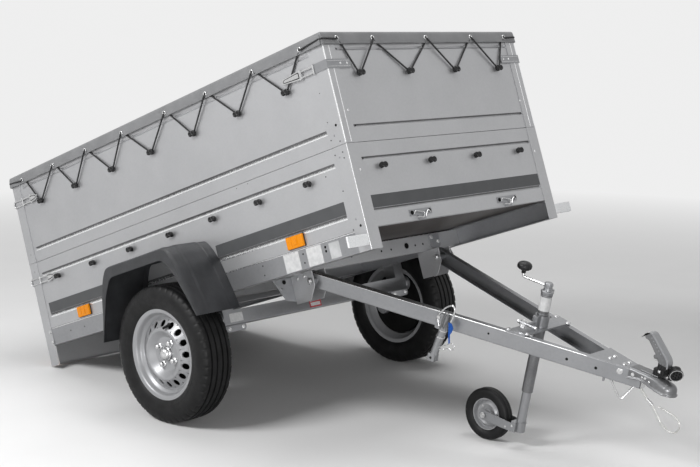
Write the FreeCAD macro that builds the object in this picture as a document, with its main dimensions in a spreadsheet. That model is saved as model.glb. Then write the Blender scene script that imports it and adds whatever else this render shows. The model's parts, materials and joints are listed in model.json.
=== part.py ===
"""Tipping utility trailer with raised sides and a flat cover, stored with its bed tipped.

Part frame: the origin is the centre of the coupling ball, +X points forwards along the road,
+Y to the left and +Z up. Two local frames are used while modelling:
  bed      X forwards, 0 at the front face; Y 0 on the centre line; Z 0 under the side sills
  drawbar  X forwards, 0 at the coupling ball; Y 0 on the centre line; Z 0 on the arms' middle
"""
import FreeCAD, Part

import math
import os

import Sketcher

os.makedirs("parts", exist_ok=True)
doc = FreeCAD.newDocument("UtilityTrailer")
sheet = doc.addObject("Spreadsheet::Sheet", "Sizes")

# Driving dimensions in millimetres and degrees

SIZES = {
    # Bed
    "bed_width": 1136,
    "bed_length": 2090,
    "frame_sheet": 3,
    "sill_height": 77,
    "sill_flange": 40,
    "floor_thickness": 9,
    "wall_thickness": 25,
    "wall_height": 308,
    "extension_height": 405,
    "panel_seam": 1,
    "post_flange": 60,
    "post_sheet": 2.5,
    "post_return": 27.5,
    "rear_board_drop": 88,
    "rear_board_lip": 22,
    "cross_member_width": 40,
    "groove_width": 13,
    "groove_depth": 5,
    "groove_inset": 82,
    "groove_edge_gap": 60,
    # Rope hooks
    "hook_first": 225,
    "hook_last_gap": 210.8,
    "hook_end_inset": 155.5,
    "hook_wall_drop": 92,
    "hook_extension_drop": 152,
    "hook_lobe_radius": 8.4,
    "hook_neck_width": 12,
    "hook_reach": 17,
    "hook_head_thickness": 6,
    # Corner latches
    "latch_height": 36,
    "latch_low_height": 31,
    "latch_sheet": 2.5,
    "latch_lever_end": 232,
    "latch_buckle_end": 137,
    "latch_strap_start": 67,
    "latch_rise": 14,
    "latch_tip_rise": 5,
    "latch_front_bottom": 657,
    "latch_front_reach": 120,
    "latch_rear_lever_end": 186,
    "latch_rear_bottom": 650,
    "latch_low_bottom": 285,
    "latch_bail_radius": 3,
    "latch_bail_beyond": 9,
    # Cover
    "cover_sheet": 3,
    "cover_slack": 0.3,
    "cover_hem": 46,
    "cover_rise": 5,
    # Tailgate
    "tailgate_side_gap": 5,
    "tailgate_end_gap": 5,
    "tailgate_hinge_radius": 7,
    "tailgate_pin_radius": 3.5,
    "running_clearance": 0.05,
    "knuckle_length": 36,
    "knuckle_gap": 0.5,
    "hinge_lug_thickness": 5,
    "hinge_offset": 400,
    # Axle and wheels
    "axle_back": 1050,
    "axle_drop": 172,
    "wheel_side_gap": 42.5,
    "tyre_radius": 273.5,
    "tyre_width": 155,
    "tyre_tread_width": 128,
    "tyre_wall_thickness": 9,
    "tyre_shoulder": 14,
    "rim_radius": 165,
    "rim_flange_radius": 182.5,
    "rim_width": 126,
    "rim_sheet": 4,
    "rim_well_radius": 148,
    "rim_well_width": 44,
    "rim_offset": 30,
    "rim_disc_bulge": 22,
    "rim_crown_radius": 97,
    "hub_face_radius": 66,
    "hub_hole_radius": 29,
    "vent_circle_radius": 121,
    "vent_radius": 12.5,
    "beam_side": 60,
    "beam_lead": 144,
    "beam_rise": 78,
    "beam_half_length": 548,
    "swing_arm_thickness": 26,
    "swing_arm_eye_radius": 34,
    "hub_radius": 61,
    "hub_flange_thickness": 10,
    "hub_barrel_radius": 27,
    "hub_nose_length": 14,
    "hub_cap_radius": 22,
    "hub_cap_length": 16,
    "spindle_radius": 17,
    "spindle_gap": 0.3,
    "wheel_face_gap": 0.3,
    "axle_pad_width": 58,
    "axle_pad_inset": 18,
    # Mudguard
    "guard_thickness": 4,
    "guard_reach": 222,
    "guard_top": 227,
    "guard_foot": 66,
    "guard_flange": 30,
    "guard_half_length": 308,
    "guard_knee_half": 292,
    "guard_knee_height": 6,
    "guard_shoulder_half": 255,
    "guard_shoulder_height": 133,
    "guard_corner_half": 225,
    "guard_corner_height": 190,
    "guard_top_half": 195,
    "guard_skirt_top": 177,
    "guard_skirt_top_half": 172,
    "guard_skirt_corner": 112,
    # Lamps
    "marker_length": 93,
    "marker_height": 50,
    "marker_thickness": 14,
    "marker_front": 312,
    "marker_rear_gap": 298,
    "marker_bottom": 83,
    "front_lamp_reach": 108,
    "front_lamp_length": 22,
    "front_lamp_height": 42,
    "front_lamp_bottom": 17,
    "rear_lamp_length": 200,
    "rear_lamp_height": 80,
    "rear_lamp_depth": 32,
    "rear_lamp_inset": 60,
    # Tilt hinge between bed and drawbar
    "pivot_back": 490,
    "pivot_drop": 35,
    "pivot_member_back": 530,
    "cheek_thickness": 4,
    "cheek_gap": 1,
    "cheek_rear": 100,
    "cheek_front": 20,
    "cheek_drop": 108,
    "pivot_bolt_radius": 8,
    "pivot_boss_radius": 15,
    "pivot_boss_length": 64,
    # Drawbar
    "drawbar_length": 1330,
    "arm_height": 60,
    "arm_flange": 30,
    "arm_spread": 403,
    "arm_tail": 29,
    "arm_apex_back": 34,
    "arm_front_back": 95,
    "nose_plate_length": 150,
    "nose_plate_gap": 0.3,
    # Coupler
    "ball_radius": 25,
    "ball_clearance": 0.4,
    "coupler_nose": 31,
    "coupler_back": 139,
    "coupler_width": 66,
    "coupler_top": 38,
    "coupler_skirt": 12,
    "coupler_neck_skirt": 3,
    "coupler_waist_back": 87,
    "coupler_waist": 7,
    "coupler_sheet": 4,
    "coupler_bevel": 10,
    "coupler_lip": 4,
    "coupler_lip_height": 6,
    "handle_width": 34,
    "handle_reach": 119,
    "handle_height": 141,
    "handle_sheet": 4,
    # Plug of the lead, parked on the coupler
    "plug_radius": 21,
    "plug_length": 36,
    "plug_ring_radius": 25,
    "plug_ring_length": 6,
    "plug_ahead": 26,
    "plug_aside": 12,
    "plug_height": 70,
    "plug_foot_width": 16,
    "plug_foot_back": 5,
    "plug_foot_height": 20,
    "plug_foot_gap": 0.3,
    # Jockey wheel
    "jockey_back": 547,
    "jockey_outer_radius": 21,
    "jockey_inner_radius": 17.5,
    "jockey_wall": 2.5,
    "jockey_head_height": 165,
    "jockey_tube_drop": 226,
    "jockey_leg_drop": 60,
    "jockey_trail": 149,
    "jockey_wheel_radius": 100,
    "jockey_tyre_width": 50,
    "jockey_rim_radius": 62,
    "jockey_hub_radius": 14,
    "jockey_axle_radius": 6,
    "fork_thickness": 4,
    "fork_side_gap": 5.5,
    "fork_height": 40,
    "clamp_plate_length": 70,
    "clamp_plate_thickness": 6,
    "clamp_height": 50,
    "clamp_wall": 6,
    "clamp_ear_length": 18,
    "clamp_ear_width": 22,
    "clamp_screw_radius": 6,
    "clamp_screw_length": 46,
    "clamp_bar_radius": 5,
    "clamp_bar_length": 78,
    "crank_radius": 5,
    "crank_reach": 117,
    "crank_rise": 40,
    "crank_height": 190,
    "knob_radius": 30,
    "knob_half_height": 20,
    "knob_neck_radius": 12,
    "knob_neck_length": 10,
    "cap_radius": 16,
    # Tip lock
    "lock_back": 813,
    "lock_side": 36,
    "lock_drop": 165,
    "lock_sheet": 3,
    "lock_plate_height": 52,
    # Prop loop under the nose
    "loop_rod_radius": 4.5,
    "loop_drop": 107,
    "loop_rear_back": 203,
    "loop_low_back": 165,
    "loop_front_back": 133,
    # Safety cable
    "cable_radius": 2.5,
    "ferrule_radius": 5.5,
    "ferrule_length": 30,
    "anchor_thickness": 4,
    "anchor_half_width": 14,
    "anchor_height": 26,
}

ANGLES = {
    "bed_tilt": 19.6,
    "drawbar_fold": 30.4,
    "plug_turn": 45,
    "plug_rise": 16,
}

for row, (alias, number) in enumerate((SIZES | ANGLES).items(), start=1):
    sheet.set("A%d" % row, alias.replace("_", " "))
    sheet.set("B%d" % row, repr(number))
    sheet.setAlias("B%d" % row, alias)
doc.recompute()


class Size:
    """A length, angle or ratio that knows its number and the expression that gives it."""

    def __init__(self, number, text):
        self.number = float(number)
        self.text = text

    def __add__(self, other):
        other = as_size(other)
        return Size(self.number + other.number, "(%s + %s)" % (self.text, other.text))

    def __sub__(self, other):
        other = as_size(other)
        return Size(self.number - other.number, "(%s - %s)" % (self.text, other.text))

    def __mul__(self, other):
        other = as_size(other)
        return Size(self.number * other.number, "(%s * %s)" % (self.text, other.text))

    def __truediv__(self, other):
        other = as_size(other)
        return Size(self.number / other.number, "(%s / %s)" % (self.text, other.text))

    def __neg__(self):
        return Size(-self.number, "(-1 * %s)" % self.text)

    __radd__ = __add__
    __rmul__ = __mul__


def as_size(value):
    return value if isinstance(value, Size) else Size(value, repr(value))


class Sheet:
    """Reads a named size of the spreadsheet as sizes.name."""

    def __getattr__(self, alias):
        return Size(sheet.get(alias), "Sizes.%s" % alias)


sizes = Sheet()
ZERO = as_size(0)


def low_first(one, other):
    return (one, other) if one.number <= other.number else (other, one)


def bind(feature, name, size):
    """Binds one property of a document object to the spreadsheet."""
    feature.setExpression(name, as_size(size).text)


def bind_base(feature, point):
    for letter, size in zip("xyz", point):
        bind(feature, "Placement.Base.%s" % letter, size)


# Solids from primitives

def box(name, one, other):
    """A box between two opposite corners."""
    solid = doc.addObject("Part::Box", name)
    spans = [low_first(as_size(a), as_size(b)) for a, b in zip(one, other)]
    for side, (low, high) in zip(("Length", "Width", "Height"), spans):
        bind(solid, side, high - low)
    bind_base(solid, [low for low, high in spans])
    return solid


AXIS_TURNS = {
    "x": FreeCAD.Rotation(FreeCAD.Vector(0, 1, 0), 90),
    "y": FreeCAD.Rotation(FreeCAD.Vector(1, 0, 0), -90),
    "z": FreeCAD.Rotation(),
}


def cylinder(name, start, axis, length, radius):
    """A cylinder from its start point along one axis."""
    solid = doc.addObject("Part::Cylinder", name)
    solid.Placement = FreeCAD.Placement(FreeCAD.Vector(), AXIS_TURNS[axis])
    bind(solid, "Radius", radius)
    bind(solid, "Height", length)
    bind_base(solid, start)
    return solid


def sphere(name, centre, radius):
    solid = doc.addObject("Part::Sphere", name)
    bind(solid, "Radius", radius)
    bind_base(solid, centre)
    return solid


def cut(name, base, tools):
    """A solid with one or more tools taken out of it."""
    result = doc.addObject("Part::Cut", name)
    result.Base = base
    result.Tool = tools[0] if len(tools) == 1 else group(name + "_tools", tools)
    return result


def fuse(name, shapes):
    result = doc.addObject("Part::MultiFuse", name)
    result.Shapes = shapes
    result.Refine = True
    return result


def common(name, one, other):
    result = doc.addObject("Part::Common", name)
    result.Base = one
    result.Tool = other
    return result


def group(name, shapes):
    result = doc.addObject("Part::Compound", name)
    result.Links = shapes
    return result


# Solids from sketches

PLANE_ROLES = {"xy": "XY_Plane", "xz": "XZ_Plane", "yz": "YZ_Plane"}


def outline(body, name, plane, points, offset=ZERO):
    """A closed outline of straight edges on an origin plane, each corner bound to the sheet."""
    sketch = body.newObject("Sketcher::SketchObject", name)
    origin_plane = [feature for feature in body.Origin.OriginFeatures
                    if feature.Role == PLANE_ROLES[plane]][0]
    sketch.AttachmentSupport = [(origin_plane, "")]
    sketch.MapMode = "FlatFace"
    bind(sketch, "AttachmentOffset.Base.z", offset)
    corners = [(as_size(x), as_size(y)) for x, y in points]
    spots = [FreeCAD.Vector(x.number, y.number, 0) for x, y in corners]
    count = len(spots)
    sketch.addGeometry([Part.LineSegment(spots[i], spots[(i + 1) % count]) for i in range(count)],
                       False)
    sketch.addConstraint([Sketcher.Constraint("Coincident", i, 2, (i + 1) % count, 1)
                          for i in range(count)])
    for i, corner in enumerate(corners):
        for kind, size in zip(("DistanceX", "DistanceY"), corner):
            index = sketch.addConstraint(Sketcher.Constraint(kind, -1, 1, i, 1, size.number))
            bind(sketch, "Constraints[%d]" % index, size)
    return sketch


def plane_offset(plane, low, high):
    """The XZ plane faces backwards along Y, so a pad from it starts at the high side."""
    return -high if plane == "xz" else low


def prism(name, plane, points, low, high):
    """A body with one outline padded between two levels along the plane's axis."""
    low, high = low_first(as_size(low), as_size(high))
    body = doc.addObject("PartDesign::Body", name)
    sketch = outline(body, name + "_outline", plane, points, plane_offset(plane, low, high))
    pad = body.newObject("PartDesign::Pad", name + "_pad")
    pad.Profile = sketch
    bind(pad, "Length", high - low)
    sketch.Visibility = False
    return body


def pocket(body, name, plane, points, low, high):
    """Takes one more outline out of a body between two levels."""
    low, high = low_first(as_size(low), as_size(high))
    sketch = outline(body, name + "_outline", plane, points, plane_offset(plane, low, high))
    taken = body.newObject("PartDesign::Pocket", name)
    taken.Profile = sketch
    bind(taken, "Length", high - low)
    taken.Reversed = True
    sketch.Visibility = False
    return body


def turned(name, points, axis="y"):
    """A body turned about its Y or Z axis: the outline gives distance along the axis and radius."""
    body = doc.addObject("PartDesign::Body", name)
    if axis == "z":
        sketch = outline(body, name + "_section", "xz", [(radius, along) for along, radius in points])
    else:
        sketch = outline(body, name + "_section", "yz", points)
    turn = body.newObject("PartDesign::Revolution", name + "_turn")
    turn.Profile = sketch
    turn.ReferenceAxis = (sketch, ["V_Axis" if axis == "z" else "H_Axis"])
    turn.Angle = 360
    sketch.Visibility = False
    return body


def dome_points(along, length, radius, steps):
    """Points of a quarter ellipse from its rim on the axis side to its top."""
    turns = [math.pi / 2 * step / steps for step in range(steps + 1)]
    curve = [(along + length * math.sin(turn), radius * math.cos(turn)) for turn in turns[:-1]]
    return curve + [(along + length, ZERO)]


# Frames of the bed and the drawbar in the part frame

def spun(x, z, degrees):
    """A point of a local frame turned nose down by an angle about Y."""
    angle = math.radians(degrees)
    return (x * math.cos(angle) + z * math.sin(angle), -x * math.sin(angle) + z * math.cos(angle))


drawbar_slope = sizes.drawbar_fold.number - sizes.bed_tilt.number
pivot_x, pivot_z = spun(-sizes.drawbar_length.number, 0, drawbar_slope)
pivot_in_bed = spun(-sizes.pivot_back.number, -sizes.pivot_drop.number, -sizes.bed_tilt.number)
bed_x, bed_z = pivot_x - pivot_in_bed[0], pivot_z - pivot_in_bed[1]

ABOUT_Y = FreeCAD.Vector(0, 1, 0)
BED = FreeCAD.Placement(FreeCAD.Vector(bed_x, 0, bed_z),
                        FreeCAD.Rotation(ABOUT_Y, -sizes.bed_tilt.number))
DRAWBAR = FreeCAD.Placement(FreeCAD.Vector(), FreeCAD.Rotation(ABOUT_Y, drawbar_slope))

axle_x, axle_z = spun(-sizes.axle_back.number, -sizes.axle_drop.number, -sizes.bed_tilt.number)
ground = bed_z + axle_z - sizes.tyre_radius.number

nodes = []


def finish(feature, label, frame, local=FreeCAD.Placement()):
    """Names a finished sub-part and puts it into the part frame."""
    if feature.TypeId in ("Part::Box", "Part::Cylinder", "Part::Sphere"):
        feature = group(feature.Name + "_part", [feature])
    feature.Label = label
    feature.Placement = frame.multiply(local)
    nodes.append(feature)
    return feature


def at(x, y, z):
    return FreeCAD.Placement(FreeCAD.Vector(x.number, y.number, z.number), FreeCAD.Rotation())


SIDES = {"right": -1, "left": 1}

# Levels and widths that many pieces share

half_width = sizes.bed_width / 2
skin_half = half_width - sizes.post_sheet
inner_half = skin_half - sizes.wall_thickness
floor_top = sizes.sill_height + sizes.floor_thickness
seam_height = sizes.sill_height + sizes.wall_height
rim_height = seam_height + sizes.extension_height
front_skin = -sizes.post_sheet
rear_skin = -(sizes.bed_length - sizes.post_sheet)
front_inner = front_skin - sizes.wall_thickness
rear_inner = rear_skin + sizes.wall_thickness
wall_bottom = sizes.sill_height + sizes.panel_seam / 2
wall_top = seam_height - sizes.panel_seam / 2
extension_bottom = seam_height + sizes.panel_seam / 2
wheel_centre = half_width + sizes.wheel_side_gap + sizes.tyre_width / 2


def mirror_points(points, side):
    """Mirrors outline points across the middle plane, keeping the order of the corners."""
    return [(x, y * side) for x, y in points]


# Frame of the bed

def sill(side_name, side):
    """Folded C section, open inwards."""
    web, edge = skin_half * side, (skin_half - sizes.sill_flange) * side
    inside = (skin_half - sizes.frame_sheet) * side
    t, h = sizes.frame_sheet, sizes.sill_height
    section = [(web, ZERO), (web, h), (edge, h), (edge, h - t), (inside, h - t), (inside, t), (edge, t),
               (edge, ZERO)]
    finish(prism("Sill_" + side_name, "yz", section, rear_skin, front_skin), "sill_" + side_name, BED)


def cross_section(x_low):
    """C section across the bed, open to the rear."""
    t, w = sizes.frame_sheet, sizes.cross_member_width
    low, high = t, sizes.sill_height - t
    x_high = x_low + w
    return [(x_high, low), (x_high, high), (x_low, high), (x_low, high - t), (x_high - t, high - t),
            (x_high - t, low + t), (x_low, low + t), (x_low, low)]


member_half = skin_half - sizes.frame_sheet
member_places = [-(sizes.axle_back + sizes.beam_side * 2),
                 -(sizes.bed_length * 3 / 4 + sizes.cross_member_width)]


def frame():
    for name, side in SIDES.items():
        sill(name, side)
    front_place = -(sizes.pivot_member_back + sizes.cross_member_width)
    front = prism("Front_cross_member", "xz", cross_section(front_place), -member_half, member_half)
    finish(front, "front_cross_member", BED)
    members = [prism("Cross_member_%d" % number, "xz", cross_section(place), -member_half, member_half)
               for number, place in enumerate(member_places, start=1)]
    finish(group("Cross_members", members), "cross_members", BED)
    floor = box("Floor", (rear_inner, -inner_half, sizes.sill_height),
                (front_inner, inner_half, floor_top))
    finish(floor, "floor_panel", BED)


def front_post(name, side, bottom, top):
    """L section round the outside of a front corner."""
    outer, inside = half_width * side, skin_half * side
    end = (half_width - sizes.post_flange) * side
    section = [(ZERO, outer), (-sizes.post_flange, outer), (-sizes.post_flange, inside),
               (front_skin, inside), (front_skin, end), (ZERO, end)]
    return prism(name, "xy", section, bottom, top)


def rear_post(name, side, bottom, top):
    """L section round the outside of a rear corner, with a short return round the wall's end."""
    outer, inside = half_width * side, skin_half * side
    end = (half_width - sizes.post_return) * side
    back = -sizes.bed_length
    section = [(back, outer), (back + sizes.post_flange, outer), (back + sizes.post_flange, inside),
               (rear_skin, inside), (rear_skin, end), (back, end)]
    return prism(name, "xy", section, bottom, top)


def posts():
    for name, side in SIDES.items():
        finish(front_post("Front_post_" + name, side, ZERO, wall_top), "front_post_" + name, BED)
        rear = rear_post("Rear_post_" + name, side, -sizes.rear_board_drop, wall_top)
        finish(rear, "rear_post_" + name, BED)


# Walls

def groove_section(skin, outward, level):
    """V pressed into a skin, drawn from as far outside it as the groove is deep."""
    mouth = skin + sizes.groove_depth * outward
    return [(mouth, level - sizes.groove_width), (mouth, level + sizes.groove_width),
            (skin - sizes.groove_depth * outward, level)]


def side_groove(name, side, level):
    """Groove along the outside of a side panel."""
    section = groove_section(skin_half * side, side, level)
    return prism(name, "yz", section, -(sizes.bed_length - sizes.groove_inset), -sizes.groove_inset)


def end_groove(name, skin, outward, level, half_length):
    """Groove across the outside of a panel at the bed's front or rear."""
    return prism(name, "xz", groove_section(skin, outward, level), -half_length, half_length)


lower_grooves = [sizes.sill_height + sizes.groove_edge_gap, seam_height - sizes.groove_edge_gap]
upper_grooves = [seam_height + sizes.groove_edge_gap, rim_height - sizes.groove_edge_gap]
end_groove_half = half_width - sizes.post_flange - sizes.frame_sheet


def side_panel(name, side, bottom, top, levels):
    panel = box(name + "_sheet", (rear_skin, skin_half * side, bottom),
                (front_skin, inner_half * side, top))
    grooves = [side_groove("%s_groove_%d" % (name, i), side, level)
               for i, level in enumerate(levels, start=1)]
    return cut(name, panel, grooves)


def front_panel(name, bottom, top, levels):
    panel = box(name + "_sheet", (front_inner, -inner_half, bottom), (front_skin, inner_half, top))
    grooves = [end_groove("%s_groove_%d" % (name, i), front_skin, 1, level, end_groove_half)
               for i, level in enumerate(levels, start=1)]
    return cut(name, panel, grooves)


def walls():
    for name, side in SIDES.items():
        lower = side_panel("Side_wall_" + name, side, wall_bottom, wall_top, lower_grooves)
        finish(lower, "side_wall_" + name, BED)
        upper = side_panel("Extension_panel_" + name, side, extension_bottom, rim_height,
                           upper_grooves)
        corners = [front_post("Extension_front_corner_" + name, side, extension_bottom, rim_height),
                   rear_post("Extension_rear_corner_" + name, side, extension_bottom, rim_height)]
        finish(fuse("Extension_side_" + name, [upper] + corners), "extension_side_" + name, BED)
    finish(front_panel("Front_wall", wall_bottom, wall_top, lower_grooves), "front_wall", BED)
    front = front_panel("Extension_front", extension_bottom, rim_height, upper_grooves)
    finish(front, "extension_front", BED)
    rear = box("Extension_rear_sheet", (rear_skin, -inner_half, extension_bottom),
               (rear_inner, inner_half, rim_height))
    grooves = [end_groove("Extension_rear_groove_%d" % i, rear_skin, -1, level, end_groove_half)
               for i, level in enumerate(upper_grooves, start=1)]
    finish(cut("Extension_rear", rear, grooves), "extension_rear", BED)


# Rope hooks: a neck and a double-lobed head

HOOKS_PER_SIDE = 7
HOOKS_PER_END = 4
# Corners of one quarter of the head, as shares of a lobe's radius: two lobes side by side
LOBE_SHARES = [(2, 0), (1.1, 0.9), (0, 0.5)]

hook_pitch = (sizes.bed_length - sizes.hook_first - sizes.hook_last_gap) / (HOOKS_PER_SIDE - 1)
hook_end_pitch = (sizes.bed_width - sizes.hook_end_inset * 2) / (HOOKS_PER_END - 1)
hook_levels = {"wall": seam_height - sizes.hook_wall_drop,
               "extension": rim_height - sizes.hook_extension_drop}
hook_end_places = [hook_end_pitch * (number - (HOOKS_PER_END - 1) / 2)
                   for number in range(HOOKS_PER_END)]


def lobe_outline():
    """Figure of two lobes, all round."""
    right_top, left_top = LOBE_SHARES, [(-across, up) for across, up in LOBE_SHARES[-2::-1]]
    top = right_top + left_top
    return top + [(across, -up) for across, up in top[-2:0:-1]]


def hook(name, axis, face, outward, along, level):
    """One hook on a wall face; axis is the wall's normal."""
    radius, half_neck = sizes.hook_lobe_radius, sizes.hook_neck_width / 2
    tip = face + sizes.hook_reach * outward
    head = tip - sizes.hook_head_thickness * outward
    figure = [(along + radius * across, level + radius * up) for across, up in lobe_outline()]
    lobes = prism(name + "_lobes", "xz" if axis == "y" else "yz", figure, head, tip)
    low, high = along - half_neck, along + half_neck
    corners = [(low, face, level - half_neck), (high, head, level + half_neck)]
    if axis == "x":
        corners = [(out, across, up) for across, out, up in corners]
    return fuse(name, [box(name + "_neck", *corners), lobes])


def rope_hooks():
    made = []
    for side_name, side in SIDES.items():
        for level_name, level in hook_levels.items():
            for number in range(HOOKS_PER_SIDE):
                along = -(sizes.hook_first + hook_pitch * number)
                name = "Hook_%s_%s_%d" % (side_name, level_name, number)
                made.append(hook(name, "y", skin_half * side, side, along, level))
    for level_name, level in hook_levels.items():
        for number, place in enumerate(hook_end_places):
            name = "Hook_front_%s_%d" % (level_name, number)
            made.append(hook(name, "x", front_skin, 1, place, level))
    for number, place in enumerate(hook_end_places):
        name = "Hook_rear_%d" % number
        made.append(hook(name, "x", rear_skin, -1, place, hook_levels["extension"]))
    finish(group("Rope_hooks", made), "rope_hooks", BED)


# Corner latches: lever and buckle on the side panels, with a strap or a wire bail round the corner

def lever_section(corner, inward, lever_end, side):
    """Plan of the lever, tallest at its buckle, lying on the side panel's skin."""
    face, high, low = skin_half * side, sizes.latch_rise * side, sizes.latch_tip_rise * side
    start, middle = [corner + along * inward for along in (sizes.latch_strap_start, sizes.latch_buckle_end)]
    end = corner + lever_end * inward
    return [(start, face), (start, face + high), (middle, face + high), (end, face + low), (end, face)]


def front_latch(name, side):
    """Lever, buckle and a strap that runs round the front corner."""
    low, high = sizes.latch_front_bottom, sizes.latch_front_bottom + sizes.latch_height
    start, t = -sizes.latch_strap_start, sizes.latch_sheet
    lever = prism(name + "_lever", "xy", lever_section(ZERO, -1, sizes.latch_lever_end, side), low, high)
    wall, end = half_width * side, (half_width - sizes.latch_front_reach) * side
    plan = [(start - t, wall), (start - t, wall + t * side), (t, wall + t * side), (t, end), (ZERO, end),
            (ZERO, wall)]
    strap = prism(name + "_strap", "xy", plan, low, high)
    return fuse(name, [lever, strap])


def rear_latch(name, side, bottom, height):
    """Lever and buckle with a wire bail that hooks over the rear corner."""
    rear, radius = -sizes.bed_length, sizes.latch_bail_radius
    lever = prism(name + "_lever", "xy", lever_section(rear, 1, sizes.latch_rear_lever_end, side), bottom,
                  bottom + height)
    wire, tip = sizes.latch_bail_radius * 2, rear - sizes.latch_bail_beyond
    hold = rear + sizes.latch_strap_start + wire
    face = half_width * side
    bail = prism(name + "_bail", "xz", [(hold, bottom), (tip, bottom), (tip, bottom + height),
                                        (hold, bottom + height), (hold, bottom + height - wire),
                                        (tip + wire, bottom + height - wire), (tip + wire, bottom + wire),
                                        (hold, bottom + wire)], face, face + wire * side)
    return fuse(name, [lever, bail])


def corner_latches():
    made = []
    for side_name, side in SIDES.items():
        made.append(front_latch("Latch_front_" + side_name, side))
        for tag, bottom in (("rear", sizes.latch_rear_bottom), ("low", sizes.latch_low_bottom)):
            name = "Latch_%s_%s" % (tag, side_name)
            made.append(rear_latch(name, side, bottom, sizes.latch_low_height))
    finish(group("Corner_latches", made), "corner_latches", BED)


# Flat cover: a top sheet with a hem that hangs outside the rim

def cover():
    slack, cloth = sizes.cover_slack, sizes.cover_sheet
    reach = slack + cloth
    bottom, underside = rim_height - sizes.cover_hem, rim_height + slack
    outer = box("Cover_outer", (-(sizes.bed_length + reach), -(half_width + reach), bottom),
                (reach, half_width + reach, underside + sizes.cover_rise))
    inner = box("Cover_inner", (-(sizes.bed_length + slack), -(half_width + slack), bottom - cloth),
                (slack, half_width + slack, underside))
    finish(cut("Cover", outer, [inner]), "flat_cover", BED)


# Tailgate, hinged along its bottom edge

gate_half = inner_half - sizes.tailgate_side_gap
gate_bottom = floor_top + sizes.tailgate_end_gap
gate_top = wall_top - sizes.tailgate_end_gap
gate_hinge_x = rear_skin - sizes.tailgate_hinge_radius - sizes.post_sheet
gate_hinge_z = gate_bottom
hinge_places = [-sizes.hinge_offset, ZERO, sizes.hinge_offset]


def tailgate():
    panel = box("Tailgate_sheet", (rear_skin, -gate_half, gate_bottom), (rear_inner, gate_half, gate_top))
    grooves = [end_groove("Tailgate_groove_%d" % i, rear_skin, -1, level, end_groove_half)
               for i, level in enumerate(lower_grooves, start=1)]
    grooved = cut("Tailgate_grooved", panel, grooves)
    half = sizes.knuckle_length / 2
    knuckles, bores = [], []
    for number, place in enumerate(hinge_places):
        start = (gate_hinge_x, place - half, gate_hinge_z)
        knuckles.append(cylinder("Knuckle_%d" % number, start, "y", sizes.knuckle_length,
                                 sizes.tailgate_hinge_radius))
        leaf_top = gate_hinge_z + sizes.tailgate_hinge_radius * 4
        knuckles.append(box("Leaf_%d" % number, (rear_skin, place - half, gate_hinge_z),
                            (gate_hinge_x, place + half, leaf_top)))
        bores.append(cylinder("Knuckle_bore_%d" % number, start, "y", sizes.knuckle_length,
                              sizes.tailgate_pin_radius + sizes.running_clearance))
    solid = cut("Tailgate", fuse("Tailgate_with_knuckles", [grooved] + knuckles), bores)
    finish(solid, "tailgate", BED)
    hooks = [hook("Tailgate_hook_%d" % number, "x", rear_skin, -1, place, hook_levels["wall"])
             for number, place in enumerate(hook_end_places)]
    finish(group("Tailgate_hooks", hooks), "tailgate_hooks", BED)


def gate_hinges():
    """Fixed halves: two lugs and a pin for each knuckle, on a leaf screwed to the rear sill."""
    half = sizes.knuckle_length / 2 + sizes.knuckle_gap
    lug = sizes.hinge_lug_thickness
    radius = sizes.tailgate_hinge_radius
    made = []
    for number, place in enumerate(hinge_places):
        pieces = []
        for tag, start in (("a", place - half - lug), ("b", place + half)):
            pieces.append(cylinder("Lug_%d%s" % (number, tag), (gate_hinge_x, start, gate_hinge_z), "y",
                                   lug, radius))
            pieces.append(box("Lug_foot_%d%s" % (number, tag), (gate_hinge_x - radius, start, gate_hinge_z),
                              (gate_hinge_x + radius, start + lug, gate_hinge_z - radius * 3)))
        length = (half + lug) * 2
        start = place - half - lug
        pieces.append(cylinder("Gate_pin_%d" % number, (gate_hinge_x, start, gate_hinge_z), "y", length,
                               sizes.tailgate_pin_radius))
        pieces.append(box("Fixed_leaf_%d" % number, (rear_skin, start, gate_hinge_z - radius * 6),
                          (gate_hinge_x - radius, start + length, gate_hinge_z - radius * 2)))
        made.append(fuse("Gate_hinge_%d" % number, pieces))
    finish(group("Gate_hinges", made), "tailgate_hinges", BED)


def rear_board():
    """Light board below the sills, with the rear sill above it and a lip along its foot."""
    t, foot, sill_top = sizes.frame_sheet, -sizes.rear_board_drop, sizes.sill_height
    lip, member = rear_skin + sizes.rear_board_lip, rear_skin + sizes.cross_member_width
    section = [(rear_skin, foot), (rear_skin, sill_top), (member, sill_top), (member, sill_top - t),
               (rear_skin + t, sill_top - t), (rear_skin + t, foot + t), (lip, foot + t), (lip, foot)]
    inner = skin_half - sizes.sill_flange
    finish(prism("Rear_board", "xz", section, -inner, inner), "rear_light_board", BED)


# Lamps

def lamps():
    amber, white, red = [], [], []
    for name, side in SIDES.items():
        face = skin_half * side
        rear_marker = sizes.bed_length - sizes.marker_rear_gap - sizes.marker_length
        for tag, front in (("front", sizes.marker_front), ("rear", rear_marker)):
            amber.append(box("Marker_%s_%s" % (name, tag), (-front, face, sizes.marker_bottom),
                             (-(front + sizes.marker_length), face + sizes.marker_thickness * side,
                              sizes.marker_bottom + sizes.marker_height)))
        low, outer = sizes.front_lamp_bottom, half_width + sizes.front_lamp_reach
        white.append(box("Front_lamp_" + name, (-sizes.front_lamp_length, half_width * side, low),
                         (ZERO, outer * side, low + sizes.front_lamp_height)))
        outer = half_width - sizes.rear_lamp_inset
        red.append(box("Rear_lamp_" + name, (rear_skin, outer * side, -sizes.frame_sheet),
                       (rear_skin - sizes.rear_lamp_depth, (outer - sizes.rear_lamp_length) * side,
                        -(sizes.frame_sheet + sizes.rear_lamp_height))))
    finish(group("Side_markers", amber), "side_markers", BED)
    finish(group("Front_lamps", white), "front_lamps", BED)
    finish(group("Rear_lamps", red), "rear_lamps", BED)


# Axle

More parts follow.
